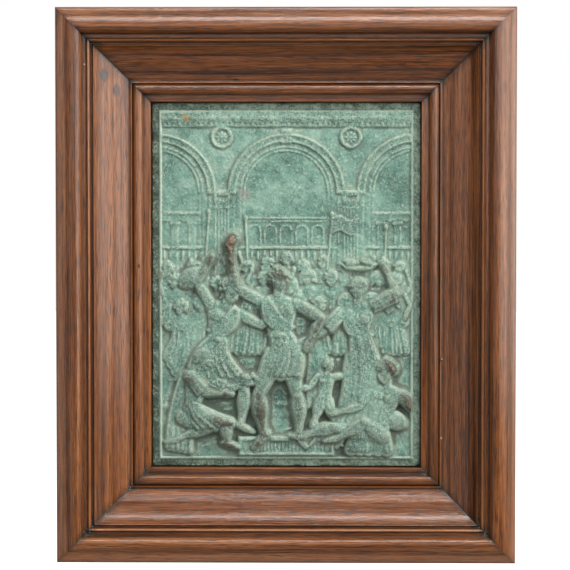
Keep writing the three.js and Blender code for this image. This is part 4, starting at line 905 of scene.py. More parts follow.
def carveJar(sheet, x, z, lift, size, roll):
    dx, dz = toward(180 + roll, size)
    jar = Local(sheet, lambda up, across: (x + dx * up + dz * across, z + dz * up - dx * across), lift, size)
    low = 0.1 / size
    jar.form([(up, 0, out, r) for up, out, r in jarShape["body"]], 0.85, 0.12, 0.25)
    jar.form([(1.2, -0.42, low, 0.11), (1.25, 0, 0.3, 0.13), (1.2, 0.42, low, 0.11)], 1, 0.08)
    for side in (-1, 1):
        jar.form([(up, side * across, low, r) for up, across, r in jarShape["handle"]], 1, 0.08)
    for up in jarShape["bands"]:
        jar.form([(up, -0.8, low, 0.05), (up - 0.06, 0, 0.95, 0.06), (up, 0.8, low, 0.05)], 1.4, 0.05)


# ---- the crowd, the step and the large figures ----

crowdRows = [
    {"count": 13, "z": 7.8, "size": 5.2, "lift": 1.5, "half": 44.0},
    {"count": 11, "z": 1.2, "size": 6.0, "lift": 2.2, "half": 42.0},
    {"count": 10, "z": -7.4, "size": 6.6, "lift": 2.8, "half": 40.5},
]
crowdHair = ("curls", "hood", "locks", "turban", "wreath", "curls", "bun", "hood", "curls", "locks")
# x, foot, top, lean
staffs = ((-31, 5, 27, 1.5), (-14.5, 5, 24.5, -1), (15.5, 5, 26, 2), (37.5, 4, 21, 0.5))


def carveCrowd(sheet):
    for x, foot, top, lean in staffs:
        sheet.form([(x, foot, 1.9, 0.36), (x + lean, top, 1.9, 0.3)], 1, 0.1)
        sheet.egg(x + lean, top + 1, 1.6, 0.75, 1.1, 1.2)
    for i in range(6):
        # a banner on the third staff
        t = i / 5
        sheet.form([(17.4 + t * 0.3, 25.4 - 5.3 * t, 2.2, 0.45), (20.5, 26.2 - 4.8 * t, 2.5, 0.55),
                    (24, 24.4 - 4.8 * t, 2.2, 0.5), (27.2 - t, 25.4 - 5.9 * t, 1.6, 0.4)], 0.9, 0.1)
    for k, row in enumerate(crowdRows):
        for i in range(row["count"]):
            carveOnlooker(sheet, row, 100 * k + i, i, k)


def carveOnlooker(sheet, row, n, i, k):
    x = row["half"] * (2 * i / (row["count"] - 1) - 1) + 1.3 * vary(n)
    z = row["z"] + 1.9 * vary(n + 0.2)
    s = row["size"] * (0.99 + 0.09 * vary(n + 0.4))
    lift = row["lift"] + 0.3 * vary(n + 0.6)
    w = 0.72 * s
    shoulders = ((-1, 1.15, 1.2, 0.34), (-0.4, 0.78, 0.6, 0.28), (0.4, 0.78, 0.6, 0.28), (1, 1.15, 1.2, 0.34))
    sheet.form([(x + w * a, z - s * b, lift - low, s * r) for a, b, low, r in shoulders], 0.7, 0.2, 0.25)
    drift = 2 * vary(n + 0.7)
    carveCloth(sheet, ((x - w * 0.7, z - s * 0.75), (x + w * 0.7, z - s * 0.75)),
               ((x - w * 1.25 + drift, z - s * 2.9), (x + w * 1.25 + drift, z - s * 2.9)), 9, s * 0.075,
               (lift - 0.1, lift - 0.5), 0.4, 0.8 * vary(n + 0.8), n)
    for j in range(3):
        # the neckline hangs in swags
        sheet.form([(x - w * 0.75, z - s * (0.8 + 0.05 * j), lift - 0.2, s * 0.06),
                    (x + 0.5 * vary(n + j), z - s * (1.05 + 0.16 * j), lift + 0.4, s * 0.08),
                    (x + w * 0.75, z - s * (0.8 + 0.05 * j), lift - 0.2, s * 0.06)], 1.6, 0.06)
    hair = crowdHair[(i * 3 + k * 4) % len(crowdHair)]
    beard = vary(n + 0.9) > 0.1 and hair not in ("bun", "hood")
    face = 0.25 + 0.55 * abs(vary(n + 0.1))
    sheet.form([(x, z - s * 0.8, lift - 0.2, s * 0.2), (x, z - s * 0.3, lift, s * 0.2)], 0.8, 0.1)
    carveHead(sheet, x, z, lift, s, 14 * vary(n + 0.3), -face if vary(n + 0.5) < 0 else face, hair, beard)
    if vary(n + 0.15) > 0.3:
        e = 1 if vary(n + 0.25) > 0 else -1
        a = x + e * w * 0.9, z - s * 1.1, lift
        b = x + e * w * 1.5, z - s * 0.2 + vary(n + 0.35), lift + 0.5
        c = x + e * w * 1.1, z + s * 0.5, lift + 0.7
        carveLimb(sheet, a, b, (s * 0.15, s * 0.16, s * 0.13), 0, 0.2)
        carveLimb(sheet, b, c, (s * 0.13, s * 0.12, s * 0.09), 0, 0.2)
        sheet.egg(*c, s * 0.13, s * 0.18, s * 0.16)


groundSizes = {
    "swellings": 110, "stepHalf": 18.0, "stepTop": -58.4, "stepFoot": -65.4, "stepBevel": 3,
    "strokes": 22, "strokeHalf": 14.4, "strokeTop": -60.9, "strokeGap": 1.75, "strokeCut": (0.27, 0.5),
}


def carveGround(sheet):
    for i in range(groundSizes["swellings"]):
        sheet.egg(46 * vary(i + 0.1), -43 + 21 * vary(i + 0.2), -0.1, 2.7 + 1.7 * vary(i + 0.3),
                  0.9 + 0.4 * vary(i + 0.4), 0.4 + 0.2 * vary(i + 0.5), 14 * vary(i + 0.6), 0.3)
    half, top, foot, bevel = (groundSizes["step" + name] for name in ("Half", "Top", "Foot", "Bevel"))
    sheet.slab(-half + 0.6, half - 0.6, foot + 0.2, top - 0.5, 1.7, bevel)
    sheet.slab(-half, half, top - 1.4, top, 2.2, bevel)
    sheet.slab(-half, half, foot, foot + 1.1, 2.1, bevel)
    for side in (-1, 1):
        sheet.slab(*sorted((side * (half - 0.9), side * (half - 0.1))), foot + 0.2, top - 0.6, 2.0, bevel)
    cut = groundSizes["strokeCut"]
    for row in range(2):
        for i, t in evenly(groundSizes["strokes"]):
            # plain short strokes
            x, z = groundSizes["strokeHalf"] * t, groundSizes["strokeTop"] - row * groundSizes["strokeGap"]
            sheet.channel([(x, z, *cut), (x + 0.12 * vary(i + row), z - 1.0, *cut)])


# angles in degrees, 0 hanging down and 90 to the right; limbs as left and right: the upper and lower
# part's angle, their foreshortening, how far each end stands forward, and a leg's foot
people = {
    "jarBearer": {
        "tall": 61, "hips": (-27.5, -27.5), "lift": 3.2,
        "lean": 12, "turn": 0.35, "tilt": 6, "nod": 6, "face": 0.8,
        "hair": "curls", "beard": True, "stout": 1.05,
        "legs": ((-30, -22, 0.95, 1, 0, -0.2, 60), (36, -6, 0.95, 0.95, 0.35, 0.2, 70)),
        "arms": ((-150, 150, 0.9, 0.85, 0.1, 0.35), (62, 128, 0.9, 0.95, 0.4, 0.6)),
        "skirt": {"down": 0.6, "flare": 0.3, "folds": 11, "thick": 0.09,
                  "out": 0.25, "sway": -0.25, "seed": 21},
        "sashes": [{"from": (2.6, 0.6), "to": (1.1, -0.35), "gap": 0.12, "bend": -0.25}],
        "cloaks": [{"top": ((-32, -8), (-25, -7)), "hem": ((-46, -26), (-38, -40)), "folds": 8, "thick": 0.6,
                    "lifts": (2.6, 2.2), "sway": -1.5, "seed": 8}],
    },
    "basketBearer": {
        "tall": 60, "hips": (28.5, -27.5), "lift": 3.2,
        "lean": -4, "turn": -0.25, "tilt": -5, "nod": 6, "face": -0.55,
        "hair": "bun", "dressed": True, "sleeves": True,
        "legs": ((-10, -2, 1, 1, 0.25, 0.1, -35), (9, 4, 1, 1, 0, -0.1, 30)),
        "arms": ((-42, -64, 0.9, 0.9, 0.35, 0.5), (118, 205, 0.95, 0.95, 0.1, 0.3)),
        "skirt": {"down": 1.86, "flare": 0.5, "folds": 14, "thick": 0.09,
                  "out": 0.25, "belly": 0.2, "sway": 0.3, "seed": 31, "waist": 1.35},
        "sashes": [{"from": (2.35, -0.55), "to": (0.9, 0.45), "gap": 0.13, "bend": 0.25}],
    },
    "child": {
        "tall": 31, "hips": (14.6, -44.5), "lift": 4.4,
        "lean": 4, "turn": 0.2, "nod": 10, "face": 0.6,
        "hair": "curls", "stout": 1.25,
        "legs": ((-16, -2, 1, 1, 0.2, 0.1, -40), (14, 10, 1, 1, 0.1, 0, 50)),
        "arms": ((-35, -80, 1, 0.95, 0.3, 0.5), (95, 140, 0.9, 0.95, 0.3, 0.5)),
        "skirt": {"down": 0.35, "flare": 0.2, "folds": 5, "thick": 0.12, "out": 0.2, "seed": 2},
    },
    "torchBearer": {
        "tall": 65, "hips": (-1.5, -26.5), "lift": 4.2,
        "lean": -4, "turn": -0.12, "tilt": 8, "nod": 8, "face": 0.35,
        "hair": "wreath", "stout": 1.05,
        "legs": ((-20, 8, 1, 1, 0.5, 0.3, -45), (8, 2, 1, 1, 0.1, 0, 40)),
        "arms": ((-118, -172, 0.95, 1, 0.3, 0.5), (58, -28, 0.95, 0.95, 0.5, 0.55)),
        "skirt": {"down": 0.5, "flare": 0.3, "folds": 12, "thick": 0.09,
                  "out": 0.25, "sway": 0.3, "seed": 41},
        "sashes": [{"from": (2.6, -0.6), "to": (1.1, 0.4), "gap": 0.12, "bend": 0.25}],
        "cloaks": [{"top": ((4, -8), (9, -9)), "hem": ((7, -47), (17, -44)), "folds": 8, "thick": 0.65,
                    "lifts": (3.0, 2.6), "sway": 2.2, "seed": 18}],
    },
    "kneelingWoman": {
        "tall": 54, "hips": (-37, -51.5), "lift": 6.4,
        "lean": 12, "turn": 0.6, "nod": 10, "face": 0.9, "hair": "hood",
        "dressed": True, "sleeves": True,
        "legs": ((66, -70, 0.75, 0.9, 0, -0.3, -80), (86, 6, 0.8, 0.62, 0.3, 0.1, 80)),
        "arms": ((40, 88, 0.9, 0.9, 0.15, 0.3), (62, 104, 0.85, 0.95, 0.3, 0.45)),
        "skirt": {"down": 1, "flare": 0.5, "folds": 10, "thick": 0.1,
                  "out": 0.2, "belly": 0.3, "sway": -0.2, "seed": 51, "waist": 1},
        "cloaks": [{"top": ((-40, -34), (-33, -36)), "hem": ((-46, -62), (-36, -64)), "folds": 8,
                    "thick": 0.65, "lifts": (4.6, 4.4), "sway": -1.2, "seed": 28}],
    },
    "recliningMan": {
        "tall": 57, "hips": (33.5, -57), "lift": 6.4,
        "lean": 16, "turn": -0.2, "tilt": 6, "nod": -22, "face": -0.6,
        "hair": "curls", "beard": True, "stout": 1.08,
        "legs": ((-98, -72, 0.88, 0.9, 0.1, -0.1, -100), (-128, -58, 0.62, 0.82, 0.45, 0.2, -80)),
        "arms": ((-30, -74, 0.95, 0.95, 0.35, 0.5), (48, 4, 0.8, 0.7, 0.1, 0.1)),
    },
}


def carveTorch(sheet, x, z, lift):
    # a rounded form along rows counted from the wrist
    def form(rows, *finish):
        sheet.form([(x + across, z + up, lift + high, r) for across, up, high, r in rows], *finish)

    form([(0.6, -6, 0, 0.42), (-0.2, 1.5, 0.1, 0.6), (-0.5, 5.2, 0.2, 0.95)], 1, 0.12, 0.25)
    for up in (3.2, 4.9):
        form([(-1.5, up, 0, 0.3), (-0.4, up + 0.1, 0.8, 0.36), (0.7, up, 0, 0.3)], 1, 0.06)
    for i, t in evenly(5):
        # tongues of flame, bent by the wind
        high = 5.4 - 1.9 * abs(t) + 0.6 * vary(i)
        form([(t * 0.6 - 0.5, 5.8, 0.2, 0.42), (t * 1.5 - 0.7, 5.8 + high * 0.45, 0.3, 0.5),
              (t * 1.3 + 0.2, 5.8 + high * 0.8, -0.1, 0.28), (t * 0.9 + 1.2, 5.8 + high, -0.6, 0.1)], 1, 0.05)


def carveFigures(sheet):
    carveJar(sheet, -35.5, 3, 4, 4.4, -58)
    carvePerson(sheet, people["jarBearer"])
    carvePerson(sheet, people["basketBearer"])
    carveTray(sheet, 27.5, 7.2, 4.6, 6.2)
    carvePerson(sheet, people["child"])
    carveTorch(sheet, *carvePerson(sheet, people["torchBearer"])[0])
    x, z, lift = carvePerson(sheet, people["kneelingWoman"])[1]
    carveTray(sheet, x + 2, z + 1.2, lift - 0.4, 3.6)
    carveJar(sheet, 40.8, -51.5, 5, 4.2, 62)
    carvePerson(sheet, people["recliningMan"])
    carveCloth(sheet, ((26.5, -54.5), (38, -53.5)), ((23, -63), (40, -63.6)), 14, 0.5, (8.4, 5.6),
               0.5, 0, 61, 0.25)


def carvePicture(step):
    sizes = plaqueSizes
    sheet = Carving(sizes["drawnWide"], sizes["drawnTall"], step)
    carveArches(sheet)
    carvePiers(sheet)
    carveFarBuildings(sheet)
    sheet.h *= sizes["wallDepth"]
    carveGround(sheet)
    sheet.depth, sheet.draft = sizes["figureDepth"], sizes["figureDraft"]
    carveCrowd(sheet)
    carveFigures(sheet)
    sheet.h = blurred(sheet.h, sizes["soften"] / step)
    gridX, gridZ = np.meshgrid(sheet.x, sheet.z)
    edge = np.minimum(sizes["drawnWide"] / 2 - np.abs(gridX), sizes["drawnTall"] / 2 - np.abs(gridZ))
    inside = np.clip((edge - sizes["rimInset"] + 0.5) / sizes["rimSlope"], 0, 1)
    line = sizes["rimRise"] * np.exp(-((edge - sizes["rimInset"]) / sizes["rimHalfWide"]) ** 2)
    fall = np.clip(1 - edge / sizes["edgeWide"], 0, 1) ** 1.5
    sheet.h = np.maximum(sheet.h * inside, line) - sizes["edgeDrop"] * fall
    return sheet


# ---- the plaque's mesh ----

castSurface = {
    "soften": 0.13, "seed": 11,          # worn edges
    # scale and height of the uneven casting, in mm
    "uneven": ((3.2, 0.09), (1.1, 0.04), (0.45, 0.04)),
}


def unevenSheet(shape, step):
    scatter = np.random.default_rng(castSurface["seed"])
    total = np.zeros(shape)
    for scale, height in castSurface["uneven"]:
        rough = blurred(scatter.standard_normal(shape), scale / 2 / step)
        total += rough / rough.std() * height
    return total


def sampled(sheet, field, x, z):
    # a field of the sheet at any points, between its grid points
    u = np.clip((x - sheet.x[0]) / (sheet.x[1] - sheet.x[0]), 0, len(sheet.x) - 1.001)
    v = np.clip((z - sheet.z[0]) / (sheet.z[1] - sheet.z[0]), 0, len(sheet.z) - 1.001)
    i, j = u.astype(int), v.astype(int)
    fu, fv = u - i, v - j
    return ((field[j, i] * (1 - fu) + field[j, i + 1] * fu) * (1 - fv)
            + (field[j + 1, i] * (1 - fu) + field[j + 1, i + 1] * fu) * fv)


def roundedCorners(gridX, gridZ, halfWide, halfTall, radius):
    # pulls the points of each corner in to a round one
    cx, cz = np.sign(gridX) * (halfWide - radius), np.sign(gridZ) * (halfTall - radius)
    dx, dz = gridX - cx, gridZ - cz
    corner = (dx * np.sign(gridX) > 0) & (dz * np.sign(gridZ) > 0)
    square = np.maximum(np.abs(dx), np.abs(dz))
    pull = np.where(corner, square / np.maximum(np.hypot(dx, dz), 1e-9), 1)
    return np.where(corner, cx + dx * pull, gridX), np.where(corner, cz + dz * pull, gridZ)


def stretchOf(sheet):
    # from the drawn sheet to the plaque
    return plaqueSizes["width"] / 2 / sheet.x[-1], plaqueSizes["tall"] / 2 / sheet.z[-1]


def sheetMesh(sheet):
    rows, cols = sheet.h.shape
    wider, taller = stretchOf(sheet)
    gridX, gridZ = np.meshgrid(sheet.x * wider, sheet.z * taller)
    gridX, gridZ = roundedCorners(gridX, gridZ, plaqueSizes["width"] / 2, plaqueSizes["tall"] / 2,
                          plaqueSizes["cornerRadius"])
    places = np.stack([gridX, -(plaqueSizes["field"] + sheet.h), gridZ], -1).reshape(-1, 3) * mm
    index = np.arange(rows * cols).reshape(rows, cols)
    a, b, c, d = index[:-1, :-1], index[:-1, 1:], index[1:, 1:], index[1:, :-1]
    faces = np.stack([a, b, c, d], -1).reshape(-1, 4)
    mesh = bpy.data.meshes.new("relief_plaque")
    mesh.vertices.add(len(places))
    mesh.vertices.foreach_set("co", places.ravel())
    mesh.loops.add(faces.size)
    mesh.loops.foreach_set("vertex_index", faces.ravel())
    mesh.polygons.add(len(faces))
    mesh.polygons.foreach_set("loop_start", np.arange(0, faces.size, 4))
    mesh.update(calc_edges=True)
    return mesh, 2 * len(faces)


def closeBack(mesh):
    # walls from the rim of the sheet to a flat back
    work = bmesh.new()
    work.from_mesh(mesh)
    rim = [e for e in work.edges if e.is_boundary]
    made = bmesh.ops.extrude_edge_only(work, edges=rim)
    low = [v for v in made["geom"] if isinstance(v, bmesh.types.BMVert)]
    for v in low:
        v.co.y = -plaqueSizes["back"] * mm
    edges = [e for e in made["geom"] if isinstance(e, bmesh.types.BMEdge) and e.is_boundary]
    bmesh.ops.contextual_create(work, geom=edges)
    bmesh.ops.recalc_face_normals(work, faces=work.faces)
    work.to_mesh(mesh)
    work.free()


def shadeSmooth(mesh, sharpAngle=None):
    mesh.polygons.foreach_set("use_smooth", np.ones(len(mesh.polygons), bool))
    if sharpAngle:
        mesh.set_sharp_from_angle(angle=math.radians(sharpAngle))


def storeField(mesh, name, values):
    mesh.attributes.new(name, "FLOAT", "POINT").data.foreach_set("value", values.astype(np.float32))


def patinaFields(sheet):
    h, step = sheet.h, plaqueSizes["step"]
    return {
        "crest": h - blurred(h, 0.5 / step),
        "cut": blurred(h, 0.6 / step) - blurred(h, 0.15 / step),
        "hollow": blurred(h, 1.3 / step) - h,
        "deep": blurred(h, 3.5 / step) - h,
        "proud": h - blurred(h, 5.0 / step),
    }


def buildPlaque():
    sheet = carvePicture(plaqueSizes["step"])
    say("relief carved")
    step = plaqueSizes["step"]
    sheet.h = blurred(sheet.h, castSurface["soften"] / step) + unevenSheet(sheet.h.shape, step)
    mesh, triangles = sheetMesh(sheet)
    piece = addMesh("plaque_relief", mesh, patina())
    thin = piece.modifiers.new("thin", "DECIMATE")
    thin.ratio = plaqueSizes["triangles"] / triangles
    mesh = baked(piece)
    closeBack(mesh)
    places = np.zeros(len(mesh.vertices) * 3)
    mesh.vertices.foreach_get("co", places)
    x, _, z = (places.reshape(-1, 3) / mm).T
    wider, taller = stretchOf(sheet)
    for name, field in patinaFields(sheet).items():
        storeField(mesh, name, sampled(sheet, field, x / wider, z / taller))
    shadeSmooth(mesh, 70)
    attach(piece, "root")
    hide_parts("relief_plaque")
    say(f"plaque of {len(mesh.polygons)} faces")


# ---- verdigris on bronze ----

verdigris = {
    # dust, the pale lime, also paints highlights along thin raised lines
    "body": (0.113, 0.233, 0.182), "pale": (0.27, 0.385, 0.305), "dust": (0.40, 0.46, 0.36),
    # the last colour of the next line is painted shade for the deep hollows
    "dark": (0.045, 0.105, 0.082), "worn": (0.075, 0.095, 0.070), "soot": (0.022, 0.024, 0.016),
    # the first colour of the next line is painted shade for the narrow grooves
    "cut": (0.022, 0.055, 0.042), "metal": (0.058, 0.046, 0.034), "copper": (0.42, 0.19, 0.10),
    "earth": (0.30, 0.27, 0.19), "speck": (0.55, 0.62, 0.52),
    "rim": (0.040, 0.066, 0.046), "rimPale": (0.23, 0.30, 0.225), "ridge": (0.40, 0.50, 0.40),
    "ochre": (0.30, 0.16, 0.04), "pink": (0.24, 0.16, 0.16),
    # x, z, radius of the two odd spots, in mm
    "ochreSpot": (-38.8, 64.6, 1.2), "pinkSpot": (-16.2, 35.2, 1.7),
}


def spotMask(x, z, spot, ragged):
    cx, cz, radius = spot
    away = ((x - cx) ** 2.0 + (z - cz) ** 2.0) ** 0.5
    return (away / radius + ragged).fallRamp(0.7, 1.25)


def patina():
    v = verdigris
    material, shader, wire = newFinish("verdigrisBronze")
    place = wire.node("ShaderNodeTexCoord", out=3).stretch((1 / mm,) * 3)
    x, _, z = place.axes()
    field = {name: wire.stored(name) for name in ("crest", "cut", "hollow", "deep", "proud")}
    cloud = place.noise(0.060, 4.0, 0.62, 0.4)
    blotch = place.noise(0.34, 4.0, 0.68, 0.5)
    mottle = place.noise(1.25, 3.0, 0.62)
    grit = place.noise(3.2, 3.0, 0.75)
    tone = cloud * 0.7 + blotch * 0.35 + mottle * 0.22 + grit * 0.22
    paint = Paint(v, tone.ramp(0.58, 0.79).blend(v["dark"], v["body"]))
    paint.lay(tone.ramp(0.70, 0.97) * 0.85, "pale")
    # pale lime lies in the hollows round the figures, and along thin raised lines as a painted highlight
    settled = (field["hollow"] + (mottle - 0.5) * 0.35 + (blotch - 0.5) * 0.3).ramp(0.03, 0.50)
    paint.lay(settled * 0.58, "dust")
    # painted highlight: thin raised lines painted pale
    crest = (field["crest"] + (mottle - 0.5) * 0.10).ramp(0.015, 0.11)
    paint.lay(crest * (0.22 + blotch * 0.7), "dust")
    # painted shade: the narrow grooves are painted dark green
    cut = (field["cut"] + (mottle - 0.5) * 0.06).ramp(0.03, 0.10)
    paint.lay(cut * 0.36, "cut")
    # fine tool marks on whatever is carved
    chased = wire.math("MAXIMUM", place.stretch((3.4, 1.0, 0.8)).noise(1.0, 2.0, 0.6),
                       place.stretch((0.8, 1.0, 3.4)).noise(1.0, 2.0, 0.6))
    carved = (field["proud"] + 0.4).ramp(0.2, 0.9)
    patch = place.noise(0.8, 3.0, 0.68)
    paint.lay(patch.ramp(0.50, 0.64) * carved * 0.42, "pale")
    paint.lay(patch.fallRamp(0.36, 0.48) * carved * 0.38, "dark")
    fleck = place.noise(1.9, 2.0, 0.6).ramp(0.56, 0.66)
    paint.lay(fleck * carved * 0.28, "earth")
    paint.lay(chased.ramp(0.58, 0.70) * (carved * 0.45 + 0.15), "dust")
    paint.lay(chased.fallRamp(0.46, 0.53) * carved * 0.5, "cut")
    # what stands proud is handled darker, then to brown metal
    worn = (field["proud"] + (blotch - 0.5) * 1.6 + (mottle - 0.5) * 0.7).ramp(0.45, 1.5)
    paint.lay(worn * 0.3, "worn")
    # painted shade: the deep hollows beside the figures are painted near black
    soot = (field["deep"] + (blotch - 0.5) * 0.9).ramp(0.6, 1.5) * field["hollow"].ramp(0.15, 0.5)
    paint.lay(soot * 0.55, "soot")
    # the outer margin is dull and dark, and painted darker toward the left as painted shade
    halfWide, halfTall = plaqueSizes["width"] / 2, plaqueSizes["tall"] / 2
    inward = wire.math("MINIMUM", halfWide - abs(x), halfTall - abs(z))
    leftPaintedLight = (-x).ramp(30, 47)
    margin = (blotch * 0.9 + mottle * 0.8 + grit * 0.4 - leftPaintedLight * 0.12).ramp(0.86, 1.20)
    edge = (inward + (blotch - 0.5) * 1.8).fallRamp(1.7, 2.8)
    paint.lay(edge * (0.8 + leftPaintedLight * 0.15), margin.blend(v["rim"], v["rimPale"]))
    # the rim's ridge is a pale line, painted paler toward the left as a painted highlight
    onRidge = abs(inward - 3.15).fallRamp(0.3, 0.7)
    paint.lay(onRidge * (0.15 + leftPaintedLight * 0.45) * (0.5 + mottle), "ridge")
    rubbed = (field["proud"] + (blotch - 0.5) * 2.4 + (mottle - 0.5) * 1.0).ramp(1.75, 2.35)
    bright = (field["proud"] + (mottle - 0.5) * 4.0 + (grit - 0.5) * 4.0).ramp(2.9, 3.6) * rubbed
    paint.lay(rubbed * 0.8, "metal")
    paint.lay(bright * 0.6, "copper")
    ragged = (mottle - 0.5) * 4.0 + (grit - 0.5) * 3.0
    paint.lay(spotMask(x, z, v["ochreSpot"], ragged) * 0.8, "ochre")
    paint.lay(spotMask(x, z, v["pinkSpot"], ragged * 1.6) * 0.6, "pink")
    speck = place.noise(2.1, 1.0).ramp(0.68, 0.73)
    paint.lay(speck * 0.6, "speck")
    feed(wire, shader, Base_Color=paint.colour, Metallic=rubbed * 0.4,
         Roughness=0.78 - rubbed * 0.33 + (grit - 0.5) * 0.2,
         Normal=bumped(wire, (mottle, 0.25, 0.22), (grit, 0.25, 0.12), (chased, 0.3, 0.10)))
    return material


# ---- the moulding ----

mouldingSizes = {
    "sight": 0.5,                       # air round the plaque
    "rebateWide": 6.0, "rebateDeep": 4.0, "side": 36.0,
    "fillet": {"front": 10.4},
    "bead": {"centre": 4.8, "halfWide": 2.0, "rise": 2.1},
    "quirk": {"at": 6.9, "front": 10.4},
    "arris": {"at": 7.1, "wide": 0.35, "front": 11.8},
    "ogee": {"start": 8.0, "startFront": 11.2, "end": 14.4, "front": 14.3},
    "swell": {"end": 21.3, "front": 19.2}, "steepening": 0.48, "waviness": 0.3,
    "upperQuirk": {"at": 21.7, "wide": 0.7, "front": 17.9},
    "lip": {"at": 23.2, "wide": 0.3, "front": 19.9}, "lipBevel": 0.5,
    "groove": {"start": 24.0, "end": 25.5, "front": 18.9},
    "torus": {"foot": 25.7, "crest": 28.4, "front": 22.2},
    # the long shoulder falling from the torus to the side
    "shoulder": ((28.4, 22.2), (29.5, 22.1), (30.5, 21.8), (31.3, 21.4), (32.0, 21.05), (32.9, 20.8),
                 (33.9, 20.6), (34.8, 20.35), (35.5, 19.95), (35.9, 19.2), (36.0, 18.1)),
    "spacing": 0.3, "backSpacing": 2.5, "backDeep": 4.5, "curveSteps": 20,
    "roundArris": 0.2, "roundFrom": 5, "roundGap": 2.2, "fullRecess": 1.1,
    "mitreGap": 0.02, "stations": 120,
    "wear": 0.10, "waves": 0.45, "dints": 0.7, "wornFrom": (4.5, 8.0), "endWear": 0.06, "endReach": 0.35,
}
# half along, half across, turn, offset of its board in the tree
lengths = {
    "rail_top": (0, 0, 3.0), "stile_right": (1, 90, 31.0),
    "rail_bottom": (0, 180, 57.0), "stile_left": (1, 270, 83.0),
}


def sectionOutline():
    # x outward from the sight edge, y forward from the wall
    m = mouldingSizes
    torus, bead = m["torus"], m["bead"]
    fillet = m["fillet"]["front"]
    points = [(m["rebateWide"], 0), (m["rebateWide"], m["rebateDeep"]), (0, m["rebateDeep"]), (0, fillet)]

    def arc(cx, cy, rx, ry, start, end, steps):
        for i in range(steps + 1):
            a = math.radians(mix(start, end, i / steps))
            points.append((cx + rx * math.cos(a), cy + ry * math.sin(a)))

    def curve(x0, y0, x1, y1, bent):
        for i in range(m["curveSteps"] + 1):
            t = i / m["curveSteps"]
            points.append((mix(x0, x1, t), mix(y0, y1, bent(t))))

    def step(shape):
        points.append((shape["at"], shape["front"]))
        if "wide" in shape:
            points.append((shape["at"] + shape["wide"], shape["front"]))

    ogee, swell = m["ogee"], m["swell"]
    arc(bead["centre"], fillet, bead["halfWide"], bead["rise"], 178, 8, 24)
    step(m["quirk"])
    step(m["arris"])
    curve(ogee["start"], ogee["startFront"], ogee["end"], ogee["front"],
          lambda t: t - m["waviness"] * math.sin(2 * math.pi * t) / (2 * math.pi))
    curve(ogee["end"], ogee["front"], swell["end"], swell["front"], lambda t: mix(t, t ** 3, m["steepening"]))
    step(m["upperQuirk"])
    points.append((m["lip"]["at"] - m["lipBevel"], m["lip"]["front"] - m["lipBevel"]))
    step(m["lip"])
    groove = m["groove"]
    points += [(groove["start"], groove["front"]), (groove["end"], groove["front"])]
    arc(torus["crest"], groove["front"], torus["crest"] - torus["foot"], torus["front"] - groove["front"],
        180, 93, 16)
    points += [tuple(point) for point in through(m["shoulder"], 4)]
    points.append((m["side"], 0))
    return points


def evenOutline(points):
    # points at even spacing, with each sharp arris worn round
    m = mouldingSizes
    line = []
    for a, b in zip(points, points[1:] + points[:1]):
        long = math.hypot(b[0] - a[0], b[1] - a[1])
        spacing = m["backSpacing"] if max(a[1], b[1]) < m["backDeep"] else m["spacing"]
        steps = max(1, round(long / spacing))
        line += [(mix(a[0], b[0], i / steps), mix(a[1], b[1], i / steps)) for i in range(steps)]
    line = np.array(line)
    front = (line[:, 1] > m["roundFrom"])[:, None]
    for _ in range(2):
        near = (np.roll(line, 1, 0) + np.roll(line, -1, 0)) / 2
        gap = np.linalg.norm(np.roll(line, 1, 0) - np.roll(line, -1, 0), axis=1)[:, None]
        line = np.where(front & (gap < m["roundGap"]), mix(line, near, m["roundArris"]), line)
    return line


def recessOf(line):
    # how far each point lies in a hollow of the section, to 1, or on an edge, to -1
    before, after = np.roll(line, 1, 0), np.roll(line, -1, 0)
    way = after - before
    normal = np.stack([-way[:, 1], way[:, 0]], -1) / np.maximum(np.linalg.norm(way, axis=1), 1e-9)[:, None]
    total = np.zeros(len(line))
    for reach in (1, 2, 3, 4):
        middle = (np.roll(line, reach, 0) + np.roll(line, -reach, 0)) / 2
        total += ((middle - line) * normal).sum(1)
    return total / mouldingSizes["fullRecess"]


def sectionObject():
    line = evenOutline(sectionOutline())
    mesh = bpy.data.meshes.new("section")
    count = len(line)
    mesh.from_pydata([(x, y, 0) for x, y in line], [(i, (i + 1) % count) for i in range(count)], [])
    hollow = recessOf(line)
    storeField(mesh, "recess", np.clip(hollow, 0, 1))
    storeField(mesh, "edge", np.clip(-hollow, 0, 1))
    mesh.attributes.new("cut", "FLOAT_VECTOR", "POINT").data.foreach_set(
        "vector", np.pad(line, ((0, 0), (0, 1))).astype(np.float32).ravel())
    return mesh


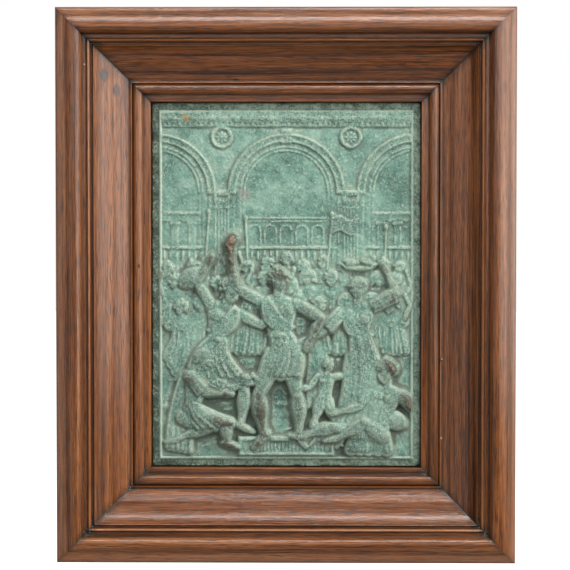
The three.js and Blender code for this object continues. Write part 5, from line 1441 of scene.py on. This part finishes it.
def mitredTree():
    # a section carried along a straight line and cut at 45 degrees at both ends
    tree = bpy.data.node_groups.new("mitredLength", "GeometryNodeTree")
    tree.is_modifier = True
    face = tree.interface
    face.new_socket("Section", in_out="INPUT", socket_type="NodeSocketGeometry")
    for name in ("Half Along", "Half Across", "Turn", "Mitre Gap", "Wear", "Tree Offset"):
        face.new_socket(name, in_out="INPUT", socket_type="NodeSocketFloat")
    face.new_socket("Stations", in_out="INPUT", socket_type="NodeSocketInt")
    face.new_socket("Wood", in_out="INPUT", socket_type="NodeSocketMaterial")
    face.new_socket("Length", in_out="OUTPUT", socket_type="NodeSocketGeometry")
    wire = Wire(tree)
    given = wire.node("NodeGroupInput")
    ask = lambda name: Wire(tree, given.socket.node.outputs[name])
    line = wire.node("GeometryNodeCurvePrimitiveLine", {}, {"Start": (0, 0, -1), "End": (0, 0, 1)})
    line = wire.node("GeometryNodeResampleCurve", {}, {"Curve": line, "Count": ask("Stations")})
    line = wire.node("GeometryNodeStoreNamedAttribute", {"data_type": "FLOAT", "domain": "POINT"},
                     {"Geometry": line, "Name": "station", "Value": wire.node("GeometryNodeSplineParameter")})
    outline = wire.node("GeometryNodeMeshToCurve", {}, {"Mesh": ask("Section")})
    solid = wire.node("GeometryNodeCurveToMesh", {},
                      {"Curve": line, "Profile Curve": outline, "Fill Caps": True})
    cut = wire.node("GeometryNodeInputNamedAttribute", {"data_type": "FLOAT_VECTOR"}, {"Name": "cut"})
    out, front, _ = cut.axes()
    station = wire.node("GeometryNodeInputNamedAttribute", {"data_type": "FLOAT"}, {"Name": "station"})
    reach = ask("Half Along") + out - ask("Mitre Gap")
    along = (station * 2.0 - 1.0) * reach
    toMitre = reach - abs(along)
    grain = wire.node("ShaderNodeCombineXYZ", {}, {0: along, 1: out + ask("Tree Offset"), 2: front})
    for name, kind, value in (("grain", "FLOAT_VECTOR", grain), ("toMitre", "FLOAT", toMitre)):
        solid = wire.node("GeometryNodeStoreNamedAttribute", {"data_type": kind, "domain": "POINT"},
                          {"Geometry": solid, "Name": name, "Value": value})
    # long hand-planed waves, and small dints, all cut inward
    waves, dints = grain.stretch((0.03, 0.2, 0.2)).noise(1.0, 1.0), grain.noise(0.22)
    m = mouldingSizes
    shown = front.ramp(*m["wornFrom"])
    cutIn = (waves * m["waves"] + dints.ramp(0.6, 0.8) * m["dints"]) * ask("Wear") * shown
    endRound = toMitre.fallRamp(0.0, m["endReach"]) * m["endWear"]
    lifted = front - cutIn - endRound * shown
    place = wire.node("ShaderNodeCombineXYZ", {}, {0: along, 1: -lifted, 2: ask("Half Across") + out})
    place = place.node("ShaderNodeVectorMath", {"operation": "SCALE"}, {0: place, 3: mm})
    place = wire.node("ShaderNodeVectorRotate", {"rotation_type": "AXIS_ANGLE"},
                      {"Vector": place, "Axis": (0, 1, 0), "Angle": ask("Turn")})
    solid = wire.node("GeometryNodeSetPosition", {}, {"Geometry": solid, "Position": place})
    solid = wire.node("GeometryNodeRealizeInstances", {}, {"Geometry": solid})
    solid = wire.node("GeometryNodeSetMaterial", {}, {"Geometry": solid, "Material": ask("Wood")})
    wire.node("NodeGroupOutput", {}, {"Length": solid})
    return tree


def setInputs(modifier, values):
    for item in modifier.node_group.interface.items_tree:
        if item.in_out == "INPUT" and item.name in values:
            modifier[item.identifier] = values[item.name]


def buildMoulding():
    m = mouldingSizes
    halves = plaqueSizes["width"] / 2 + m["sight"], plaqueSizes["tall"] / 2 + m["sight"]
    tree, section = mitredTree(), sectionObject()
    wood = waxedWood("waxedHardwood")
    for name, (tallWay, turn, offset) in lengths.items():
        piece = addMesh("moulding_" + name, section.copy(), wood)
        sweep = piece.modifiers.new("sweep", "NODES")
        sweep.node_group = tree
        setInputs(sweep, {"Half Along": halves[tallWay], "Half Across": halves[1 - tallWay],
                          "Turn": math.radians(turn), "Stations": m["stations"], "Mitre Gap": m["mitreGap"],
                          "Wear": m["wear"], "Tree Offset": offset, "Wood": wood})
        mesh = baked(piece)
        tidyNormals(mesh)
        shadeSmooth(mesh, 50)
        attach(piece, "root")
        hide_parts("frame_" + name)
        say(f"{piece.name}: {len(mesh.polygons)} faces")


# ---- waxed hardwood ----

woodTones = {
    "dark": (0.034, 0.0115, 0.0042), "mid": (0.160, 0.052, 0.0155), "light": (0.29, 0.118, 0.044),
    "fox": (0.25, 0.078, 0.020), "grime": (0.014, 0.008, 0.005), "filler": (0.22, 0.24, 0.20),
    "speck": (0.45, 0.42, 0.38), "stain": (0.016, 0.014, 0.015), "bloom": (0.085, 0.095, 0.105),
    # the next colour is a painted reflection on the outer edge
    "bleached": (0.36, 0.19, 0.115),
}
# x, z, half width, half height in mm, which tone, how strong
woodMarks = {
    "stainHigh": (-69.9, 81.0, 1.9, 2.6, "stain", 0.85),
    "stainLow": (-65.3, 75.3, 1.5, 2.7, "stain", 0.85),
    "bloomHigh": (-69.7, 80.6, 0.8, 1.3, "bloom", 0.35),
    "bloomLow": (-65.2, 75.6, 0.6, 1.4, "bloom", 0.25),
    "knot": (-19.3, 79.1, 1.5, 0.8, "grime", 0.9),
    "chip": (-56.8, 7.5, 0.6, 0.9, "grime", 0.9),
    "nailHole": (60.0, -28.9, 0.6, 0.7, "grime", 0.9),
    "nailSpeck": (60.3, -28.5, 0.3, 0.3, "speck", 0.9),
    "speckLow": (60.0, -59.1, 0.45, 0.45, "speck", 0.7),
    "speckHigh": (-77.1, 84.9, 0.35, 0.35, "speck", 0.9),
}


def waxedWood(name):
    tones = woodTones
    material, shader, wire = newFinish(name)
    grain = wire.stored("grain", out=1)
    recess, edge, toMitre = (wire.stored(name) for name in ("recess", "edge", "toMitre"))
    place = wire.node("ShaderNodeTexCoord", out=3).stretch((1 / mm,) * 3)
    x, _, z = place.axes()
    _, out, front = grain.axes()
    drift = grain.stretch((0.008, 0.07, 0.07)).noise(1.0, 2.0)
    bands = grain.stretch((0.006, 0.26, 0.26)).noise(1.0, 3.0, 0.6, 0.15)
    streak = grain.stretch((0.016, 0.9, 0.9)).noise(1.0, 5.0, 0.75)
    fibre = grain.stretch((0.09, 3.6, 3.6)).noise(1.0, 3.0, 0.8)
    pores = grain.stretch((0.15, 3.4, 3.4)).noise(1.0, 1.0)
    rings = wire.math("SINE", (out * 0.6 + front * 0.9 + drift * 9.0) * 2.3) * 0.5 + 0.5
    fair = out.ramp(70.0, 80.0)   # one board is paler than the rest
    # painted shade: the tone is a little darker on the top rail
    tone = bands * 0.70 + streak * 0.56 + rings * 0.05 + fibre * 0.66 + fair * 0.06 - z.ramp(60, 90) * 0.02
    paint = Paint(tones, tone.ramp(0.80, 1.03).blend(tones["dark"], tones["mid"]))
    paint.lay(tone.ramp(1.00, 1.24) * 0.9, "light")
    paint.lay(drift.ramp(0.50, 0.66) * streak.ramp(0.45, 0.62) * 0.6, "fox")
    pore = pores.ramp(0.56, 0.63)
    paint.lay(pore * 0.8, "dark")
    # arrises are rubbed through the polish, and painted paler on the bottom rail as a painted highlight
    rubbed = (edge * (0.3 + fibre * 1.4)).ramp(0.25, 0.9) * ((-z).ramp(70, 90) * 0.4 + 0.2)
    paint.lay(rubbed, "light")
    # the quirks and hollows of the section are darker and duller; old polish and dirt lie at the mitres
    speckle = place.noise(1.1, 3.0, 0.6)
    quirkDark = (recess * (0.55 + speckle * 0.8)).ramp(0.10, 0.75)
    paint.lay(quirkDark * 0.45, "grime")
    # how far out from the opening, in mm
    across = wire.math("MAXIMUM", abs(x) - (plaqueSizes["width"] / 2 + mouldingSizes["sight"]),
                       abs(z) - (plaqueSizes["tall"] / 2 + mouldingSizes["sight"]))
    # painted reflection: the outer edge is paler, as if it reflected the pale room, most of all on the right
    paintedSheen = (across + (streak - 0.5) * 4.0).ramp(30.5, 35.5) * front.ramp(9.0, 17.0)
    paintedSheen = paintedSheen * (0.28 + x.ramp(40, 86) * 0.16 - z.ramp(90, 106) * 0.16) * (fibre + 0.5)
    paint.lay(paintedSheen, "bleached")
    inner = across.fallRamp(27.0, 31.0) * 0.5 + 0.3   # the outer roll's joint is tight and clean
    seam = (toMitre + (speckle - 0.5) * 2.0).fallRamp(0.2, 1.0) * inner
    paint.lay(seam * 0.8, "grime")
    dusty = (toMitre + (speckle - 0.5) * 1.5).fallRamp(0.0, 0.5) * (-z).ramp(60, 80) * inner
    paint.lay(dusty * 0.35, "filler")
    smear = (toMitre + (speckle - 0.5) * 9.0 - recess * 3.0).fallRamp(-0.8, 4.4) * inner
    paint.lay(smear * 0.6, "grime")
    caked = (toMitre + (speckle - 0.5) * 5.0 - recess * 4.0).fallRamp(-1.0, 0.6) * recess.ramp(0.1, 0.4)
    paint.lay(caked * 0.9, "grime")
    inCorner = (toMitre - recess * 3.0).fallRamp(-1.0, 1.5) * recess.ramp(0.05, 0.3)
    crumbs = place.noise(1.9, 1.0).ramp(0.58, 0.63) * inCorner
    paint.lay(crumbs * ((-z).ramp(60, 80) * 0.65 + 0.15), "filler")
    for cx, cz, wide, tall, tint, strength in woodMarks.values():
        away = (((x - cx) / wide) ** 2.0 + ((z - cz) / tall) ** 2.0) ** 0.5 + (speckle - 0.5) * 0.9
        paint.lay(away.fallRamp(0.35, 1.3) * front.ramp(8.0, 10.0) * strength, tint)
    roughness = 0.14 + z.ramp(-80, 80) * 0.05 + (streak - 0.5) * 0.2 + (fibre - 0.5) * 0.2
    roughness = roughness + quirkDark * 0.3 + seam * 0.3 + pore * 0.15
    feed(wire, shader, Base_Color=paint.colour, Roughness=roughness, Coat_Roughness=0.13,
         Coat_Weight=0.13 - quirkDark * 0.11, Specular_IOR_Level=0.35,
         Normal=bumped(wire, (streak, 0.35, 0.25), (fibre, 0.6, 0.14), (pore, -0.7, 0.10),
                       (speckle, 0.1, 0.2)))
    return material


# ---- the backing board ----

boardSizes = {"bevel": 0.5, "bevelSteps": 3, "sawPitch": 1.7}
boardTones = {"dark": (0.075, 0.042, 0.024), "light": (0.235, 0.140, 0.080), "dust": (0.30, 0.25, 0.20)}


def buildBoard():
    low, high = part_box("backing_board")
    work = bmesh.new()
    bmesh.ops.create_cube(work, size=1.0)
    for v in work.verts:
        v.co = [mix(low[k], high[k], v.co[k] + 0.5) for k in range(3)]
    bmesh.ops.bevel(work, geom=list(work.edges), offset=boardSizes["bevel"] * mm,
                    segments=boardSizes["bevelSteps"], affect="EDGES", profile=0.6)
    bmesh.ops.recalc_face_normals(work, faces=work.faces)
    mesh = bpy.data.meshes.new("backing_board")
    work.to_mesh(mesh)
    work.free()
    piece = addMesh("board_back", mesh, sawnWood())
    shadeSmooth(mesh, 35)
    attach(piece, "root")
    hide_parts("backing_board")
    say("backing board")


def sawnWood():
    material, shader, wire = newFinish("sawnBoard")
    place = wire.node("ShaderNodeTexCoord", out=3).stretch((1 / mm,) * 3)
    *_, z = place.axes()
    bands = place.stretch((0.16, 0.3, 0.006)).noise(1.0, 4.0, 0.6, 0.6)
    fibre = place.stretch((1.6, 1.6, 0.05)).noise(1.0, 4.0, 0.6)
    dust = place.noise(0.12, 4.0, 0.6)
    saw = wire.math("SINE", (z + (bands - 0.5) * 6.0) * (2 * math.pi / boardSizes["sawPitch"]))
    tone = (bands * 0.6 + fibre * 0.4).ramp(0.38, 0.66)
    paint = Paint(boardTones, tone.blend(boardTones["dark"], boardTones["light"]))
    paint.lay(dust.ramp(0.5, 0.75) * 0.4, "dust")
    feed(wire, shader, Base_Color=paint.colour, Roughness=0.75 + (fibre - 0.5) * 0.25,
         Normal=bumped(wire, (fibre, 0.4, 0.3), (saw, 0.25, 0.1)))
    return material


buildMoulding()
buildBoard()
buildPlaque()
